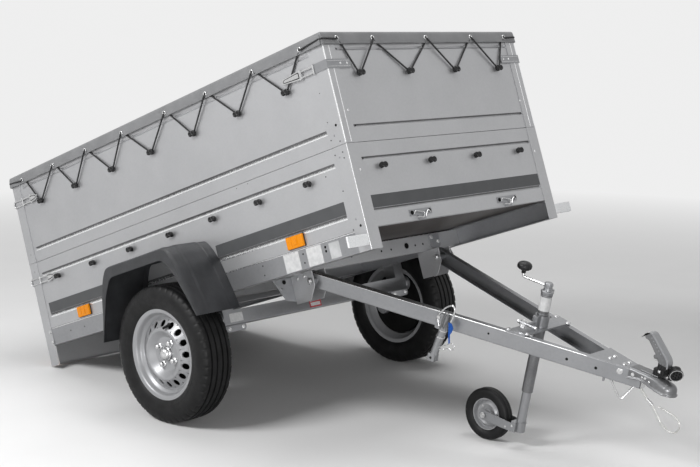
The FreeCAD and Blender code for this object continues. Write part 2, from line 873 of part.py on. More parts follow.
beam_centre_x = -(sizes.axle_back - sizes.beam_lead)
beam_centre_z = -(sizes.axle_drop - sizes.beam_rise)
hub_face = wheel_centre + sizes.rim_offset
arm_outer = sizes.beam_half_length + sizes.swing_arm_thickness


def axle():
    half = sizes.beam_side / 2
    beam = box("Beam", (beam_centre_x - half, -sizes.beam_half_length, beam_centre_z - half),
               (beam_centre_x + half, sizes.beam_half_length, beam_centre_z + half))
    pads = []
    inner, outer = sizes.beam_half_length - sizes.axle_pad_width, skin_half - sizes.axle_pad_inset
    half_pad = sizes.axle_pad_width / 2
    for name, side in SIDES.items():
        pads.append(box("Axle_pad_" + name, (beam_centre_x - half_pad, outer * side, beam_centre_z + half),
                        (beam_centre_x + half_pad, inner * side, ZERO)))
    finish(fuse("Axle_beam", [beam] + pads), "axle_beam", BED)
    for name, side in SIDES.items():
        finish(swing_arm(name, side), "swing_arm_" + name, BED)


# The hub's barrel takes the outer half of the way from the arm to the wheel's disc
hub_inner = (arm_outer + hub_face) / 2
spindle_end = hub_face + sizes.hub_nose_length - sizes.spindle_gap


def swing_arm(name, side):
    """Trailing arm from the beam's end to the wheel's centre, with the spindle that the hub turns on."""
    eye = sizes.swing_arm_eye_radius
    inner, outer = low_first(sizes.beam_half_length * side, arm_outer * side)
    front = cylinder("Arm_front_eye_" + name, (beam_centre_x, inner, beam_centre_z), "y",
                     sizes.swing_arm_thickness, eye)
    rear = cylinder("Arm_rear_eye_" + name, (-sizes.axle_back, inner, -sizes.axle_drop), "y",
                    sizes.swing_arm_thickness, eye)
    waist = eye * 3 / 4
    side_view = [(beam_centre_x, beam_centre_z + waist), (-sizes.axle_back, waist - sizes.axle_drop),
                 (-sizes.axle_back, -(sizes.axle_drop + waist)), (beam_centre_x, beam_centre_z - waist)]
    link = prism("Arm_link_" + name, "xz", side_view, inner, outer)
    spindle_low, spindle_high = low_first(arm_outer * side, spindle_end * side)
    spindle = cylinder("Spindle_" + name, (-sizes.axle_back, spindle_low, -sizes.axle_drop), "y",
                       spindle_high - spindle_low, sizes.spindle_radius)
    return fuse("Swing_arm_" + name, [front, rear, link, spindle])


# Road wheels, modelled at their own centre

VENTS = 16


def rim(name, side):
    """Well-base barrel with a dished disc: hub bowl, crown ridge, and vents in the cone outside it."""
    half_rim, t = sizes.rim_width / 2, sizes.rim_sheet
    bead, flange, well = sizes.rim_radius, sizes.rim_flange_radius, sizes.rim_well_radius
    half_well = sizes.rim_well_width / 2
    slope = (bead - well) / 2
    bead_inner, well_end = half_rim - t, half_well + slope
    barrel = turned("Rim_barrel_" + name, [
        (-half_rim, flange), (-bead_inner, flange), (-bead_inner, bead), (-well_end, bead),
        (-half_well, well), (half_well, well), (well_end, bead), (bead_inner, bead),
        (bead_inner, flange), (half_rim, flange), (half_rim, bead - t), (well_end, bead - t),
        (half_well, well - t), (-half_well, well - t), (-well_end, bead - t), (-half_rim, bead - t)])
    face, crown = sizes.rim_offset, sizes.rim_offset + sizes.rim_disc_bulge
    crown_inner, crown_outer = sizes.rim_crown_radius - t * 2, sizes.rim_crown_radius + t / 2
    edge = well - t
    disc_points = [
        (face, sizes.hub_hole_radius), (face, sizes.hub_face_radius), (crown, crown_inner),
        (crown, crown_outer), (half_well - t * 2, edge), (half_well, edge), (crown + t, crown_outer + t / 2),
        (crown + t, crown_inner), (face + t, sizes.hub_face_radius), (face + t, sizes.hub_hole_radius)]
    disc = turned("Rim_disc_" + name, [(along * side, radius) for along, radius in disc_points])
    low, high = low_first((half_well - t * 2) * side, (crown + t * 2) * side)
    circle = sizes.vent_circle_radius
    vents = []
    for number in range(VENTS):
        turn = math.tau * number / VENTS
        start = (circle * math.cos(turn), low, circle * math.sin(turn))
        vents.append(cylinder("Vent_%s_%d" % (name, number), start, "y", high - low, sizes.vent_radius))
    return fuse("Rim_" + name, [barrel, cut("Rim_disc_with_vents_" + name, disc, vents)])


def hub(name, side):
    """Flange behind the wheel disc, barrel on the spindle, and a domed grease cap through the disc."""
    bore = sizes.spindle_radius + sizes.running_clearance
    face, back = sizes.rim_offset, sizes.rim_offset - sizes.hub_flange_thickness
    inner, nose = hub_inner - wheel_centre, face + sizes.hub_nose_length
    floor = spindle_end - wheel_centre + sizes.spindle_gap / 2
    section = [(floor, ZERO), (floor, bore), (inner, bore), (inner, sizes.hub_barrel_radius),
               (back, sizes.hub_barrel_radius), (back, sizes.hub_radius), (face, sizes.hub_radius),
               (face, sizes.hub_barrel_radius), (nose, sizes.hub_barrel_radius)]
    section += dome_points(nose, sizes.hub_cap_length, sizes.hub_cap_radius, 3)
    return turned("Hub_" + name, [(as_size(along) * side, radius) for along, radius in section])


def tyre(name):
    """Hollow tyre on the rim's bead seats."""
    half_rim, t = sizes.rim_width / 2, sizes.rim_sheet
    bead, flange = sizes.rim_radius, sizes.rim_flange_radius
    tread_half, wall_half = sizes.tyre_tread_width / 2, sizes.tyre_width / 2
    outer, thick, gap = sizes.tyre_radius, sizes.tyre_wall_thickness, sizes.wheel_face_gap
    bulge, shoulder = (outer + flange) / 2, sizes.tyre_shoulder
    bead_half = half_rim - t - gap
    outside = [(tread_half - shoulder, outer), (tread_half, outer - shoulder / 2),
               (wall_half, bulge + thick), (wall_half, bulge - thick), (half_rim + gap, flange + thick / 2),
               (bead_half, flange + gap), (bead_half, bead + gap)]
    inside = [(bead_half - thick, bead + gap), (bead_half - thick, flange + thick / 2),
              (wall_half - thick, bulge), (tread_half - shoulder, outer - thick)]
    one_half = outside + inside
    other_half = [(-along, radius) for along, radius in reversed(one_half)]
    return turned("Tyre_" + name, one_half + other_half)


def road_wheel(name, side):
    centre = at(-sizes.axle_back, wheel_centre * side, -sizes.axle_drop)
    finish(rim(name, side), "rim_" + name, BED, centre)
    finish(hub(name, side), "hub_" + name, BED, centre)
    finish(tyre(name), "tyre_" + name, BED, centre)


# Mudguards

def guard_outline(inset):
    """Faceted arch over the wheel, drawn inside the outer surface by an inset."""
    half = [(sizes.guard_half_length - inset, -sizes.guard_foot),
            (sizes.guard_knee_half - inset, sizes.guard_knee_height),
            (sizes.guard_shoulder_half - inset, sizes.guard_shoulder_height - inset / 4),
            (sizes.guard_corner_half - inset * 3 / 4, sizes.guard_corner_height - inset / 2),
            (sizes.guard_top_half - inset / 4, sizes.guard_top - inset)]
    return arch(half)


def skirt_outline():
    """Lower edge of the outer wall: tall at the top, running out to nothing at the feet."""
    foot = sizes.guard_half_length - sizes.guard_thickness
    return arch([(foot, -sizes.guard_foot), (sizes.guard_corner_half, sizes.guard_skirt_corner),
                 (sizes.guard_skirt_top_half, sizes.guard_skirt_top)])


def arch(half):
    """An outline round the axle from its front half, given as distance ahead and height."""
    centre = -sizes.axle_back
    return ([(centre - ahead, height) for ahead, height in half]
            + [(centre + ahead, height) for ahead, height in reversed(half)])


def mudguard(name, side):
    t = sizes.guard_thickness
    inner, outer = skin_half * side, (skin_half + sizes.guard_reach) * side
    shell = prism("Guard_" + name, "xz", guard_outline(ZERO), inner, outer)
    pocket(shell, "Guard_hollow_" + name, "xz", guard_outline(t), (skin_half + t) * side,
           (skin_half + sizes.guard_reach - t) * side)
    pocket(shell, "Guard_window_" + name, "xz", skirt_outline(), (skin_half + t) * side,
           (skin_half + sizes.guard_reach + t) * side)
    pocket(shell, "Guard_wall_side_" + name, "xz", guard_outline(sizes.guard_flange),
           (skin_half - t) * side, (skin_half + t * 2) * side)
    finish(shell, "mudguard_" + name, BED)


# Tilt hinge

arm_angle = math.atan2(sizes.arm_spread.number, sizes.drawbar_length.number + sizes.arm_tail.number
                       - sizes.arm_apex_back.number)
arm_taper = sizes.arm_spread / (sizes.drawbar_length + sizes.arm_tail - sizes.arm_apex_back)
pivot_outer = arm_taper * (sizes.drawbar_length - sizes.arm_apex_back) + sizes.frame_sheet
boss_inner = pivot_outer + sizes.arm_tail / 2 - sizes.pivot_boss_length
boss_outer = boss_inner + sizes.pivot_boss_length


def tilt_bracket(name, side):
    """Two cheeks welded under the cross member beside the pivot, and the bolt through them."""
    x, z = -sizes.pivot_back, -sizes.pivot_drop
    rear, front = x - sizes.cheek_rear, x + sizes.cheek_front
    foot, top = -sizes.cheek_drop, sizes.frame_sheet
    section = [(rear, foot), (rear, top), (front, top), (front, z - sizes.cheek_front),
               (x - sizes.cheek_front, foot)]
    pieces = []
    outer, inner = boss_outer + sizes.cheek_gap, boss_inner - sizes.cheek_gap - sizes.cheek_thickness
    for tag, start in (("outer", outer), ("inner", inner)):
        end = start + sizes.cheek_thickness
        pieces.append(prism("Cheek_%s_%s" % (tag, name), "xz", section, start * side, end * side))
    bolt_in = boss_inner - sizes.cheek_gap - sizes.cheek_thickness * 2
    bolt_out = boss_outer + sizes.cheek_gap + sizes.cheek_thickness * 2
    low, high = low_first(bolt_in * side, bolt_out * side)
    pieces.append(cylinder("Pivot_bolt_" + name, (x, low, z), "y", high - low, sizes.pivot_bolt_radius))
    finish(fuse("Tilt_bracket_" + name, pieces), "tilt_bracket_" + name, BED)


# Drawbar

def arm(name, side):
    """Folded C section, open to the middle, mitred where the two arms meet at the nose."""
    rear, front = -(sizes.drawbar_length + sizes.arm_tail), -sizes.arm_front_back
    front_y = arm_taper * (sizes.arm_front_back - sizes.arm_apex_back)
    middle = sizes.nose_plate_gap
    mitre = -(sizes.arm_apex_back + (sizes.arm_flange + middle) / arm_taper)
    half, t = sizes.arm_height / 2, sizes.frame_sheet
    plan = [(rear, sizes.arm_spread), (front, front_y), (front, middle), (mitre, middle),
            (rear, sizes.arm_spread - sizes.arm_flange)]
    body = prism("Arm_" + name, "xy", mirror_points(plan, side), -half, half)
    beyond = sizes.arm_tail
    hollow = [(rear - beyond, sizes.arm_spread - t + arm_taper * beyond),
              (front + beyond, front_y - t - arm_taper * beyond), (front + beyond, -sizes.arm_flange),
              (rear - beyond, -sizes.arm_flange)]
    pocket(body, "Arm_hollow_" + name, "xy", mirror_points(hollow, side), -(half - t), half - t)
    low, high = low_first(boss_inner * side, boss_outer * side)
    start = (-sizes.drawbar_length, low, ZERO)
    boss = cylinder("Boss_" + name, start, "y", sizes.pivot_boss_length, sizes.pivot_boss_radius)
    bore = cylinder("Boss_bore_" + name, start, "y", sizes.pivot_boss_length,
                    sizes.pivot_bolt_radius + sizes.running_clearance)
    solid = cut("Drawbar_arm_" + name, fuse("Arm_with_boss_" + name, [body, boss]), [bore])
    finish(solid, "drawbar_arm_" + name, DRAWBAR)


def nose_plate():
    """Gusset welded on top of both arms behind the coupler."""
    half = sizes.arm_height / 2
    front = -(sizes.coupler_back + sizes.panel_seam)
    rear = front - sizes.nose_plate_length
    front_y = arm_taper * (-front - sizes.arm_apex_back)
    rear_y = arm_taper * (-rear - sizes.arm_apex_back)
    plan = [(rear, -rear_y), (rear, rear_y), (front, front_y), (front, -front_y)]
    finish(prism("Nose_plate", "xy", plan, half, half + sizes.frame_sheet), "nose_plate", DRAWBAR)


neck_half = (arm_taper * (sizes.coupler_back - sizes.arm_apex_back) + sizes.coupler_sheet
             + sizes.nose_plate_gap)


def coupler_plan(name, extra, low, high):
    """Tapering plan of the coupling head from its neck to the ball, widened by an extra."""
    half, back = sizes.coupler_width / 2 + extra, -sizes.coupler_back
    neck = neck_half + extra
    front = half - sizes.ball_clearance
    plan = [(back, -neck), (back, neck), (-sizes.coupler_nose, front), (ZERO, front), (ZERO, -front),
            (-sizes.coupler_nose, -front)]
    return prism(name, "xy", plan, low, high)


def coupler():
    """Pressed coupling head: domed over the ball, bevelled along its back, with a lip round its foot."""
    half, back = sizes.coupler_width / 2, -sizes.coupler_back
    top, t, bevel = sizes.coupler_top, sizes.coupler_sheet, sizes.coupler_bevel
    skirt_depth = sizes.coupler_skirt
    skirt, crown = -skirt_depth, top - half
    waist_x, waist = -sizes.coupler_waist_back, sizes.coupler_waist
    beyond = neck_half * 2
    foot = [(back, -sizes.coupler_neck_skirt), (waist_x, waist), (-sizes.coupler_nose, t - skirt_depth),
            (ZERO, skirt)]
    section = [(-neck_half, skirt), (-neck_half, top - bevel), (bevel - neck_half, top),
               (neck_half - bevel, top), (neck_half, top - bevel), (neck_half, skirt)]
    bevelled = prism("Coupler_bevels", "yz", section, back, ZERO)
    back_line = [(ZERO, top - sizes.coupler_lip), (-sizes.coupler_nose / 2, top), (back, top)]
    side_view = prism("Coupler_side", "xz", foot + back_line, -beyond, beyond)
    tapered = common("Coupler_back", coupler_plan("Coupler_plan", ZERO, skirt, top), bevelled)
    block = common("Coupler_block", tapered, side_view)
    band = foot + [(x, z + sizes.coupler_lip_height) for x, z in reversed(foot)]
    lip = common("Coupler_lip", coupler_plan("Coupler_lip_plan", sizes.coupler_lip, skirt, top),
                 prism("Coupler_lip_side", "xz", band, -beyond, beyond))
    above = cylinder("Coupler_dome_room", (ZERO, ZERO, ZERO), "z", top + t, half + t)
    dome = common("Coupler_dome", sphere("Coupler_ball", (ZERO, ZERO, crown), half), above)
    drum = cylinder("Coupler_drum", (ZERO, ZERO, skirt), "z", crown - skirt, half)
    lip_drum = cylinder("Coupler_lip_nose", (ZERO, ZERO, skirt), "z", sizes.coupler_lip_height,
                        half + sizes.coupler_lip)
    inner = neck_half - t
    hollow_front = -(sizes.coupler_nose + sizes.ball_radius)
    hollow = box("Coupler_hollow", (back - t, -inner, skirt - t),
                 (hollow_front, inner, sizes.arm_height / 2 + sizes.nose_plate_gap))
    reach = sizes.ball_radius + sizes.ball_clearance
    socket = sphere("Socket", (ZERO, ZERO, ZERO), reach)
    mouth = cylinder("Socket_mouth", (ZERO, ZERO, skirt - t), "z", t - skirt, reach + sizes.ball_clearance)
    shell = fuse("Coupler_shell", [block, dome, drum, lip, lip_drum])
    solid = cut("Coupler", shell, [fuse("Coupler_inside", [hollow, socket, mouth])])
    finish(solid, "coupler", DRAWBAR)


# Side view of the raised handle, as shares of its reach behind the ball and its height
HANDLE_SHARES = [(-0.52, 0), (-0.14, 0), (-0.1, 0.22), (-0.1, 0.44), (-0.2, 0.55), (-0.77, 1), (-0.9, 0.99),
                 (-1, 0.86), (-0.97, 0.79), (-0.86, 0.8), (-0.5, 0.46), (-0.45, 0.2)]
# Hollow of its channel, open to the rear
CHANNEL_SHARES = [(-0.21, 0.06), (-0.15, 0.22), (-0.15, 0.42), (-0.25, 0.53), (-0.78, 0.95), (-1.1, 0.7),
                  (-0.7, 0.06)]


def coupler_handle():
    """Raised lever, a channel open to the rear: a foot on the coupler's back and a grip that leans back."""
    half, top = sizes.handle_width / 2, sizes.coupler_top

    def side_view(shares):
        return [(sizes.handle_reach * ahead, top + sizes.handle_height * up) for ahead, up in shares]

    lever = prism("Handle_lever", "xz", side_view(HANDLE_SHARES), -half, half)
    inside = half - sizes.handle_sheet
    pocket(lever, "Handle_channel", "xz", side_view(CHANNEL_SHARES), -inside, inside)
    finish(lever, "coupler_handle", DRAWBAR)


def parked_plug():
    """Round plug of the trailer's lead, parked in a holder on the coupling head."""
    back, ring = -sizes.plug_length, -sizes.plug_ring_length
    radius, ring_radius = sizes.plug_radius, sizes.plug_ring_radius
    plug = turned("Plug", [(back, ZERO), (back, radius * 3 / 4), (back * 3 / 4, radius), (ring, radius),
                           (ring, ring_radius), (ZERO, ring_radius), (ZERO, ZERO)])
    turn = FreeCAD.Rotation(FreeCAD.Vector(0, 0, 1), -90 - sizes.plug_turn.number).multiply(
        FreeCAD.Rotation(FreeCAD.Vector(1, 0, 0), -sizes.plug_rise.number))
    plug.Placement = FreeCAD.Placement(FreeCAD.Vector(), turn)
    bind_base(plug, (sizes.plug_ahead, -sizes.plug_aside, sizes.plug_height))
    half, rear = sizes.plug_foot_width / 2, -sizes.plug_foot_back
    seat = sizes.coupler_top + sizes.plug_foot_gap
    foot = box("Plug_foot", (rear, -half, seat),
               (rear + sizes.plug_foot_width, half, seat + sizes.plug_foot_height))
    finish(fuse("Parked_plug", [plug, foot]), "parked_plug", DRAWBAR)


# Jockey wheel

jockey_x = -sizes.jockey_back
jockey_wheel_x = -(sizes.jockey_back + sizes.jockey_trail)
slope_angle = math.radians(drawbar_slope)
# The wheel touches the same ground as the road wheels
wheel_slope = jockey_wheel_x.number * math.sin(slope_angle)
hub_level_number = (ground + sizes.jockey_wheel_radius.number + wheel_slope) / math.cos(slope_angle)
last_row = len(SIZES) + len(ANGLES) + 1
sheet.set("A%d" % last_row, "jockey hub drop")
sheet.set("B%d" % last_row, repr(round(-hub_level_number, 3)))
sheet.setAlias("B%d" % last_row, "jockey_hub_drop")
doc.recompute()
hub_level = -sizes.jockey_hub_drop


def jockey_clamp():
    """Cross plate on the arms' top flanges with the split clamp that holds the outer tube."""
    half = sizes.arm_height / 2
    rear, front = jockey_x - sizes.clamp_plate_length / 2, jockey_x + sizes.clamp_plate_length / 2
    rear_y = arm_taper * (-rear - sizes.arm_apex_back)
    front_y = arm_taper * (-front - sizes.arm_apex_back)
    plan = [(rear, -rear_y), (rear, rear_y), (front, front_y), (front, -front_y)]
    plate = prism("Clamp_plate", "xy", plan, half, half + sizes.clamp_plate_thickness)
    ring = cylinder("Clamp_ring", (jockey_x, ZERO, half), "z", sizes.clamp_height,
                    sizes.jockey_outer_radius + sizes.clamp_wall)
    bore = cylinder("Clamp_bore", (jockey_x, ZERO, half - sizes.clamp_wall), "z",
                    sizes.clamp_height + sizes.clamp_wall * 2,
                    sizes.jockey_outer_radius + sizes.running_clearance)
    level = half + sizes.clamp_height / 2
    ring_radius = sizes.jockey_outer_radius + sizes.clamp_wall
    ear_end, half_ear = -(ring_radius + sizes.clamp_ear_length), sizes.clamp_ear_width / 2
    ear = box("Clamp_ear", (jockey_x - half_ear, ear_end, half),
              (jockey_x + half_ear, -sizes.jockey_outer_radius, half + sizes.clamp_height))
    screw_end = ear_end - sizes.clamp_screw_length
    screw = cylinder("Clamp_screw", (jockey_x, screw_end, level), "y",
                     sizes.clamp_screw_length + sizes.clamp_wall, sizes.clamp_screw_radius)
    bar = cylinder("Clamp_bar", (jockey_x - sizes.clamp_bar_length / 2, screw_end, level), "x",
                   sizes.clamp_bar_length, sizes.clamp_bar_radius)
    body = fuse("Clamp_body", [plate, ring, ear, screw, bar])
    finish(cut("Jockey_clamp", body, [bore]), "jockey_clamp", DRAWBAR)


def jockey_tube():
    """Outer tube, closed by a cap with the crank's collar."""
    outer = cylinder("Outer_tube", (jockey_x, ZERO, -sizes.jockey_tube_drop), "z",
                     sizes.jockey_tube_drop + sizes.jockey_head_height, sizes.jockey_outer_radius)
    bore = cylinder("Outer_tube_bore", (jockey_x, ZERO, -(sizes.jockey_tube_drop + sizes.jockey_wall)), "z",
                    sizes.jockey_tube_drop + sizes.jockey_head_height,
                    sizes.jockey_inner_radius + sizes.running_clearance * 2)
    finish(cut("Jockey_tube", outer, [bore]), "jockey_outer_tube", DRAWBAR)


def jockey_crank():
    """Cap, bent crank rod and knob."""
    top = sizes.jockey_head_height
    bend_x = jockey_x - sizes.crank_reach
    collar = cylinder("Crank_collar", (jockey_x, ZERO, top), "z", sizes.cap_radius / 2,
                      sizes.jockey_outer_radius + sizes.frame_sheet)
    cap = cylinder("Crank_cap", (jockey_x, ZERO, top), "z", sizes.cap_radius * 5 / 2, sizes.cap_radius)
    bend = (bend_x, ZERO, sizes.crank_height)
    rod = cylinder("Crank_rod", bend, "x", sizes.crank_reach, sizes.crank_radius)
    upright = cylinder("Crank_upright", bend, "z", sizes.crank_rise, sizes.crank_radius)
    joint = sphere("Crank_bend", bend, sizes.crank_radius)
    finish(fuse("Jockey_crank", [collar, cap, rod, upright, joint]), "jockey_crank", DRAWBAR)
    centre = sizes.crank_height + sizes.crank_rise
    half, bore = sizes.knob_half_height, sizes.crank_radius + sizes.running_clearance
    low = -(half + sizes.knob_neck_length)
    section = [(low, bore), (low, sizes.knob_neck_radius), (-half, sizes.knob_neck_radius),
               (-half * 2 / 3, sizes.knob_radius * 3 / 4)]
    section += dome_points(ZERO, half, sizes.knob_radius, 4)
    section += [(sizes.running_clearance, ZERO), (sizes.running_clearance, bore)]
    finish(turned("Crank_knob", section, "z"), "crank_knob", DRAWBAR, at(bend_x, ZERO, centre))


leg_bottom = hub_level - sizes.fork_height / 4
socket_top = leg_bottom + sizes.fork_height


def jockey_leg():
    foot = leg_bottom + sizes.fork_thickness
    leg = cylinder("Leg", (jockey_x, ZERO, foot), "z", -sizes.jockey_leg_drop - foot,
                   sizes.jockey_inner_radius)
    bore = cylinder("Leg_bore", (jockey_x, ZERO, leg_bottom), "z",
                    sizes.jockey_head_height - leg_bottom, sizes.jockey_inner_radius - sizes.jockey_wall)
    finish(cut("Jockey_leg", leg, [bore]), "jockey_inner_tube", DRAWBAR)


def jockey_fork():
    """Cup that turns on the inner tube's foot, and two plates back to the wheel."""
    cup_radius = sizes.jockey_inner_radius + sizes.frame_sheet
    cup = cylinder("Fork_cup", (jockey_x, ZERO, leg_bottom), "z", sizes.fork_height, cup_radius)
    floor = leg_bottom + sizes.fork_thickness - sizes.running_clearance
    bore = cylinder("Fork_cup_bore", (jockey_x, ZERO, floor), "z", sizes.fork_height,
                    sizes.jockey_inner_radius + sizes.running_clearance)
    inner = sizes.jockey_tyre_width / 2 + sizes.fork_side_gap
    eye = sizes.fork_height / 2
    plates = []
    for name, side in SIDES.items():
        low, high = low_first(inner * side, (inner + sizes.fork_thickness) * side)
        plates.append(prism("Fork_plate_" + name, "xz",
                            [(jockey_wheel_x, hub_level - eye), (jockey_wheel_x, hub_level + eye),
                             (jockey_x, hub_level + eye), (jockey_x, leg_bottom)], low, high))
        plates.append(cylinder("Fork_eye_" + name, (jockey_wheel_x, low, hub_level), "y",
                               sizes.fork_thickness, eye))
    bridge = box("Fork_bridge", (jockey_x - cup_radius, -(inner + sizes.fork_thickness), leg_bottom),
                 (jockey_x, inner + sizes.fork_thickness, leg_bottom + sizes.fork_height))
    pin = cylinder("Jockey_axle", (jockey_wheel_x, -(inner + sizes.fork_thickness * 2), hub_level), "y",
                   (inner + sizes.fork_thickness * 2) * 2, sizes.jockey_axle_radius)
    solid = cut("Jockey_fork", fuse("Fork_body", [cup, bridge, pin] + plates), [bore])
    finish(solid, "jockey_fork", DRAWBAR)


def jockey_wheel():
    centre = at(jockey_wheel_x, ZERO, hub_level)
    half, rim, hub = sizes.jockey_tyre_width / 2, sizes.jockey_rim_radius, sizes.jockey_hub_radius
    t = sizes.rim_sheet
    bore = sizes.jockey_axle_radius + sizes.running_clearance
    hub_half = half + sizes.fork_side_gap - sizes.knuckle_gap
    disc = turned("Jockey_rim", [
        (-hub_half, bore), (-hub_half, hub), (-t, hub), (-half / 2, (hub + rim) / 2), (-t, rim - t * 2),
        (-half * 2 / 3, rim - t), (-half * 2 / 3, rim), (half * 2 / 3, rim), (half * 2 / 3, rim - t),
        (t, rim - t * 2), (half / 2, (hub + rim) / 2), (t, hub), (hub_half, hub), (hub_half, bore)])
    finish(disc, "jockey_rim", DRAWBAR, centre)
    seat = rim + sizes.wheel_face_gap
    outer = sizes.jockey_wheel_radius
    tyre = turned("Jockey_tyre", [
        (-half * 2 / 3, seat), (-half, rim + t * 2), (-half, outer - t * 2), (-half * 2 / 3, outer),
        (half * 2 / 3, outer), (half, outer - t * 2), (half, rim + t * 2), (half * 2 / 3, seat)])
    finish(tyre, "jockey_tyre", DRAWBAR, centre)


# Small fittings on the drawbar

def tip_lock():
    """Square latch tube under the right arm, with the plate that holds it to the arm's web."""
    half, side, t = sizes.arm_height / 2, sizes.lock_side, sizes.lock_sheet
    outer = box("Lock_outer", (-side / 2, ZERO, -sizes.lock_drop), (side / 2, side, -half))
    bore = box("Lock_bore", (t - side / 2, t, -(sizes.lock_drop + t)),
               (side / 2 - t, side - t, -(half + t)))
    plate = box("Lock_plate", (-side / 2, -t, -(half + side / 2)),
                (side / 2, ZERO, sizes.lock_plate_height))
    solid = cut("Tip_lock", fuse("Lock_body", [outer, plate]), [bore])
    web = arm_taper * (sizes.lock_back - sizes.arm_apex_back)
    turn = FreeCAD.Rotation(FreeCAD.Vector(0, 0, 1), math.degrees(arm_angle))
    local = FreeCAD.Placement(FreeCAD.Vector(-sizes.lock_back.number, -web.number, 0), turn)
    finish(solid, "tip_lock", DRAWBAR, local)


def vector(point):
    x, y, z = [as_size(size).number for size in point]
    return FreeCAD.Vector(x, y, z)


def rounded_path(points, share):
    """Straight runs joined by tangent arcs as large as the shorter run at each corner allows."""
    spots = [vector(point) for point in points]
    edges, start = [], spots[0]
    for before, corner, after in zip(spots, spots[1:], spots[2:]):
        back, ahead = (before - corner), (after - corner)
        trim = share * min(back.Length, ahead.Length)
        first, last = corner + back.normalize() * trim, corner + ahead.normalize() * trim
        turn = math.pi - back.getAngle(ahead)
        bisector = (back + ahead).normalize()
        radius = trim / math.tan(turn / 2)
        centre = corner + bisector * math.hypot(radius, trim)
        middle = centre - bisector * radius
        edges += [Part.LineSegment(start, first).toShape(), Part.Arc(first, middle, last).toShape()]
        start = last
    edges.append(Part.LineSegment(start, spots[-1]).toShape())
    return Part.Wire(edges)


def tube_along(name, points, radius, share=0.45):
    """A round rod or cable swept along a rounded path."""
    path = rounded_path(points, share)
    start, heading = vector(points[0]), vector(points[1]) - vector(points[0])
    section = Part.Wire(Part.makeCircle(radius.number, start, heading))
    solid = path.makePipeShell([section], True, True)
    expected = math.pi * radius.number ** 2 * path.Length
    if abs(solid.Volume / expected - 1) > 0.02:
        raise RuntimeError("the sweep of %s lost its section" % name)
    feature = doc.addObject("Part::Feature", name)
    feature.Shape = solid
    return feature


def prop_loop():
    """Bent rod under the nose."""
    level = -(sizes.arm_height / 2 + sizes.loop_rod_radius * 3 / 5)
    across = arm_taper * (sizes.loop_low_back - sizes.arm_apex_back) - sizes.loop_rod_radius * 2
    points = [(-sizes.loop_rear_back, -across, level), (-sizes.loop_low_back, ZERO, -sizes.loop_drop),
              (-sizes.loop_front_back, across, level)]
    finish(tube_along("Prop_loop", points, sizes.loop_rod_radius, 0.2), "prop_loop", DRAWBAR)


# Safety cable: route of its middle line in the drawbar frame, chosen by hand
CABLE_ROUTE = [(-89, -12, -27), (-68, -9, -52), (-38, -4, -72), (-13, 0, -103), (8, 2, -127), (36, 3, -141),
               (62, 2, -137), (78, 0, -114), (73, -2, -92), (52, -3, -77), (22, -4, -71), (-14, -5, -67)]


def safety_cable():
    """Steel rope from the anchor between the arms, closed to a loop by its ferrule."""
    finish(tube_along("Safety_cable", CABLE_ROUTE, sizes.cable_radius), "safety_cable", DRAWBAR)
    back, front = vector(CABLE_ROUTE[1]), vector(CABLE_ROUTE[2])
    heading = (front - back).normalize()
    turn = FreeCAD.Rotation(FreeCAD.Vector(1, 0, 0), heading)
    ferrule = cylinder("Ferrule", (ZERO, ZERO, ZERO), "x", sizes.ferrule_length, sizes.ferrule_radius)
    start = front - heading * sizes.ferrule_length.number
    finish(group("Cable_ferrule", [ferrule]), "cable_ferrule", DRAWBAR, FreeCAD.Placement(start, turn))
    anchor = box("Anchor", (-sizes.arm_front_back, -sizes.anchor_half_width, -sizes.arm_height / 2),
                 (-(sizes.arm_front_back - sizes.anchor_thickness), sizes.anchor_half_width,
                  sizes.anchor_height - sizes.arm_height / 2))
    finish(anchor, "cable_anchor", DRAWBAR)


frame()
posts()
walls()
rope_hooks()
corner_latches()
cover()
tailgate()
gate_hinges()
rear_board()
lamps()
axle()
for side_name, side_sign in SIDES.items():
    road_wheel(side_name, side_sign)
    mudguard(side_name, side_sign)
    tilt_bracket(side_name, side_sign)
    arm(side_name, side_sign)
nose_plate()
coupler()
coupler_handle()
parked_plug()
jockey_clamp()
jockey_tube()
jockey_crank()
jockey_leg()
jockey_fork()
jockey_wheel()
tip_lock()
prop_loop()
safety_cable()

# Check every object, then write one file for each sub-part

doc.recompute()
failed = [feature.Name for feature in doc.Objects if set(feature.State) & {"Invalid", "Error"}]
if failed:
    raise RuntimeError("failed features: " + ", ".join(failed))
for feature in nodes:
    shape = feature.Shape
    if shape.isNull() or not shape.isValid() or not shape.Solids:
        raise RuntimeError("no valid solid in " + feature.Label)
    shape.exportStep("parts/%s.step" % feature.Label)
print(len(nodes), "sub-parts, ground at", round(ground, 2))
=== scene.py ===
"""Looks of the tipping utility trailer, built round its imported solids.

Pieces are drawn in millimetres in one of two local frames and then put into the trailer's frame:
  BED  X forwards, 0 at the front face of the bed; Y to the left; Z 0 under the side sills
  BAR  X forwards, 0 at the coupling ball; Y to the left; Z 0 on the middle of the drawbar's arms
"""
import json
import math

import bmesh
import bpy
from mathutils import Matrix, Vector


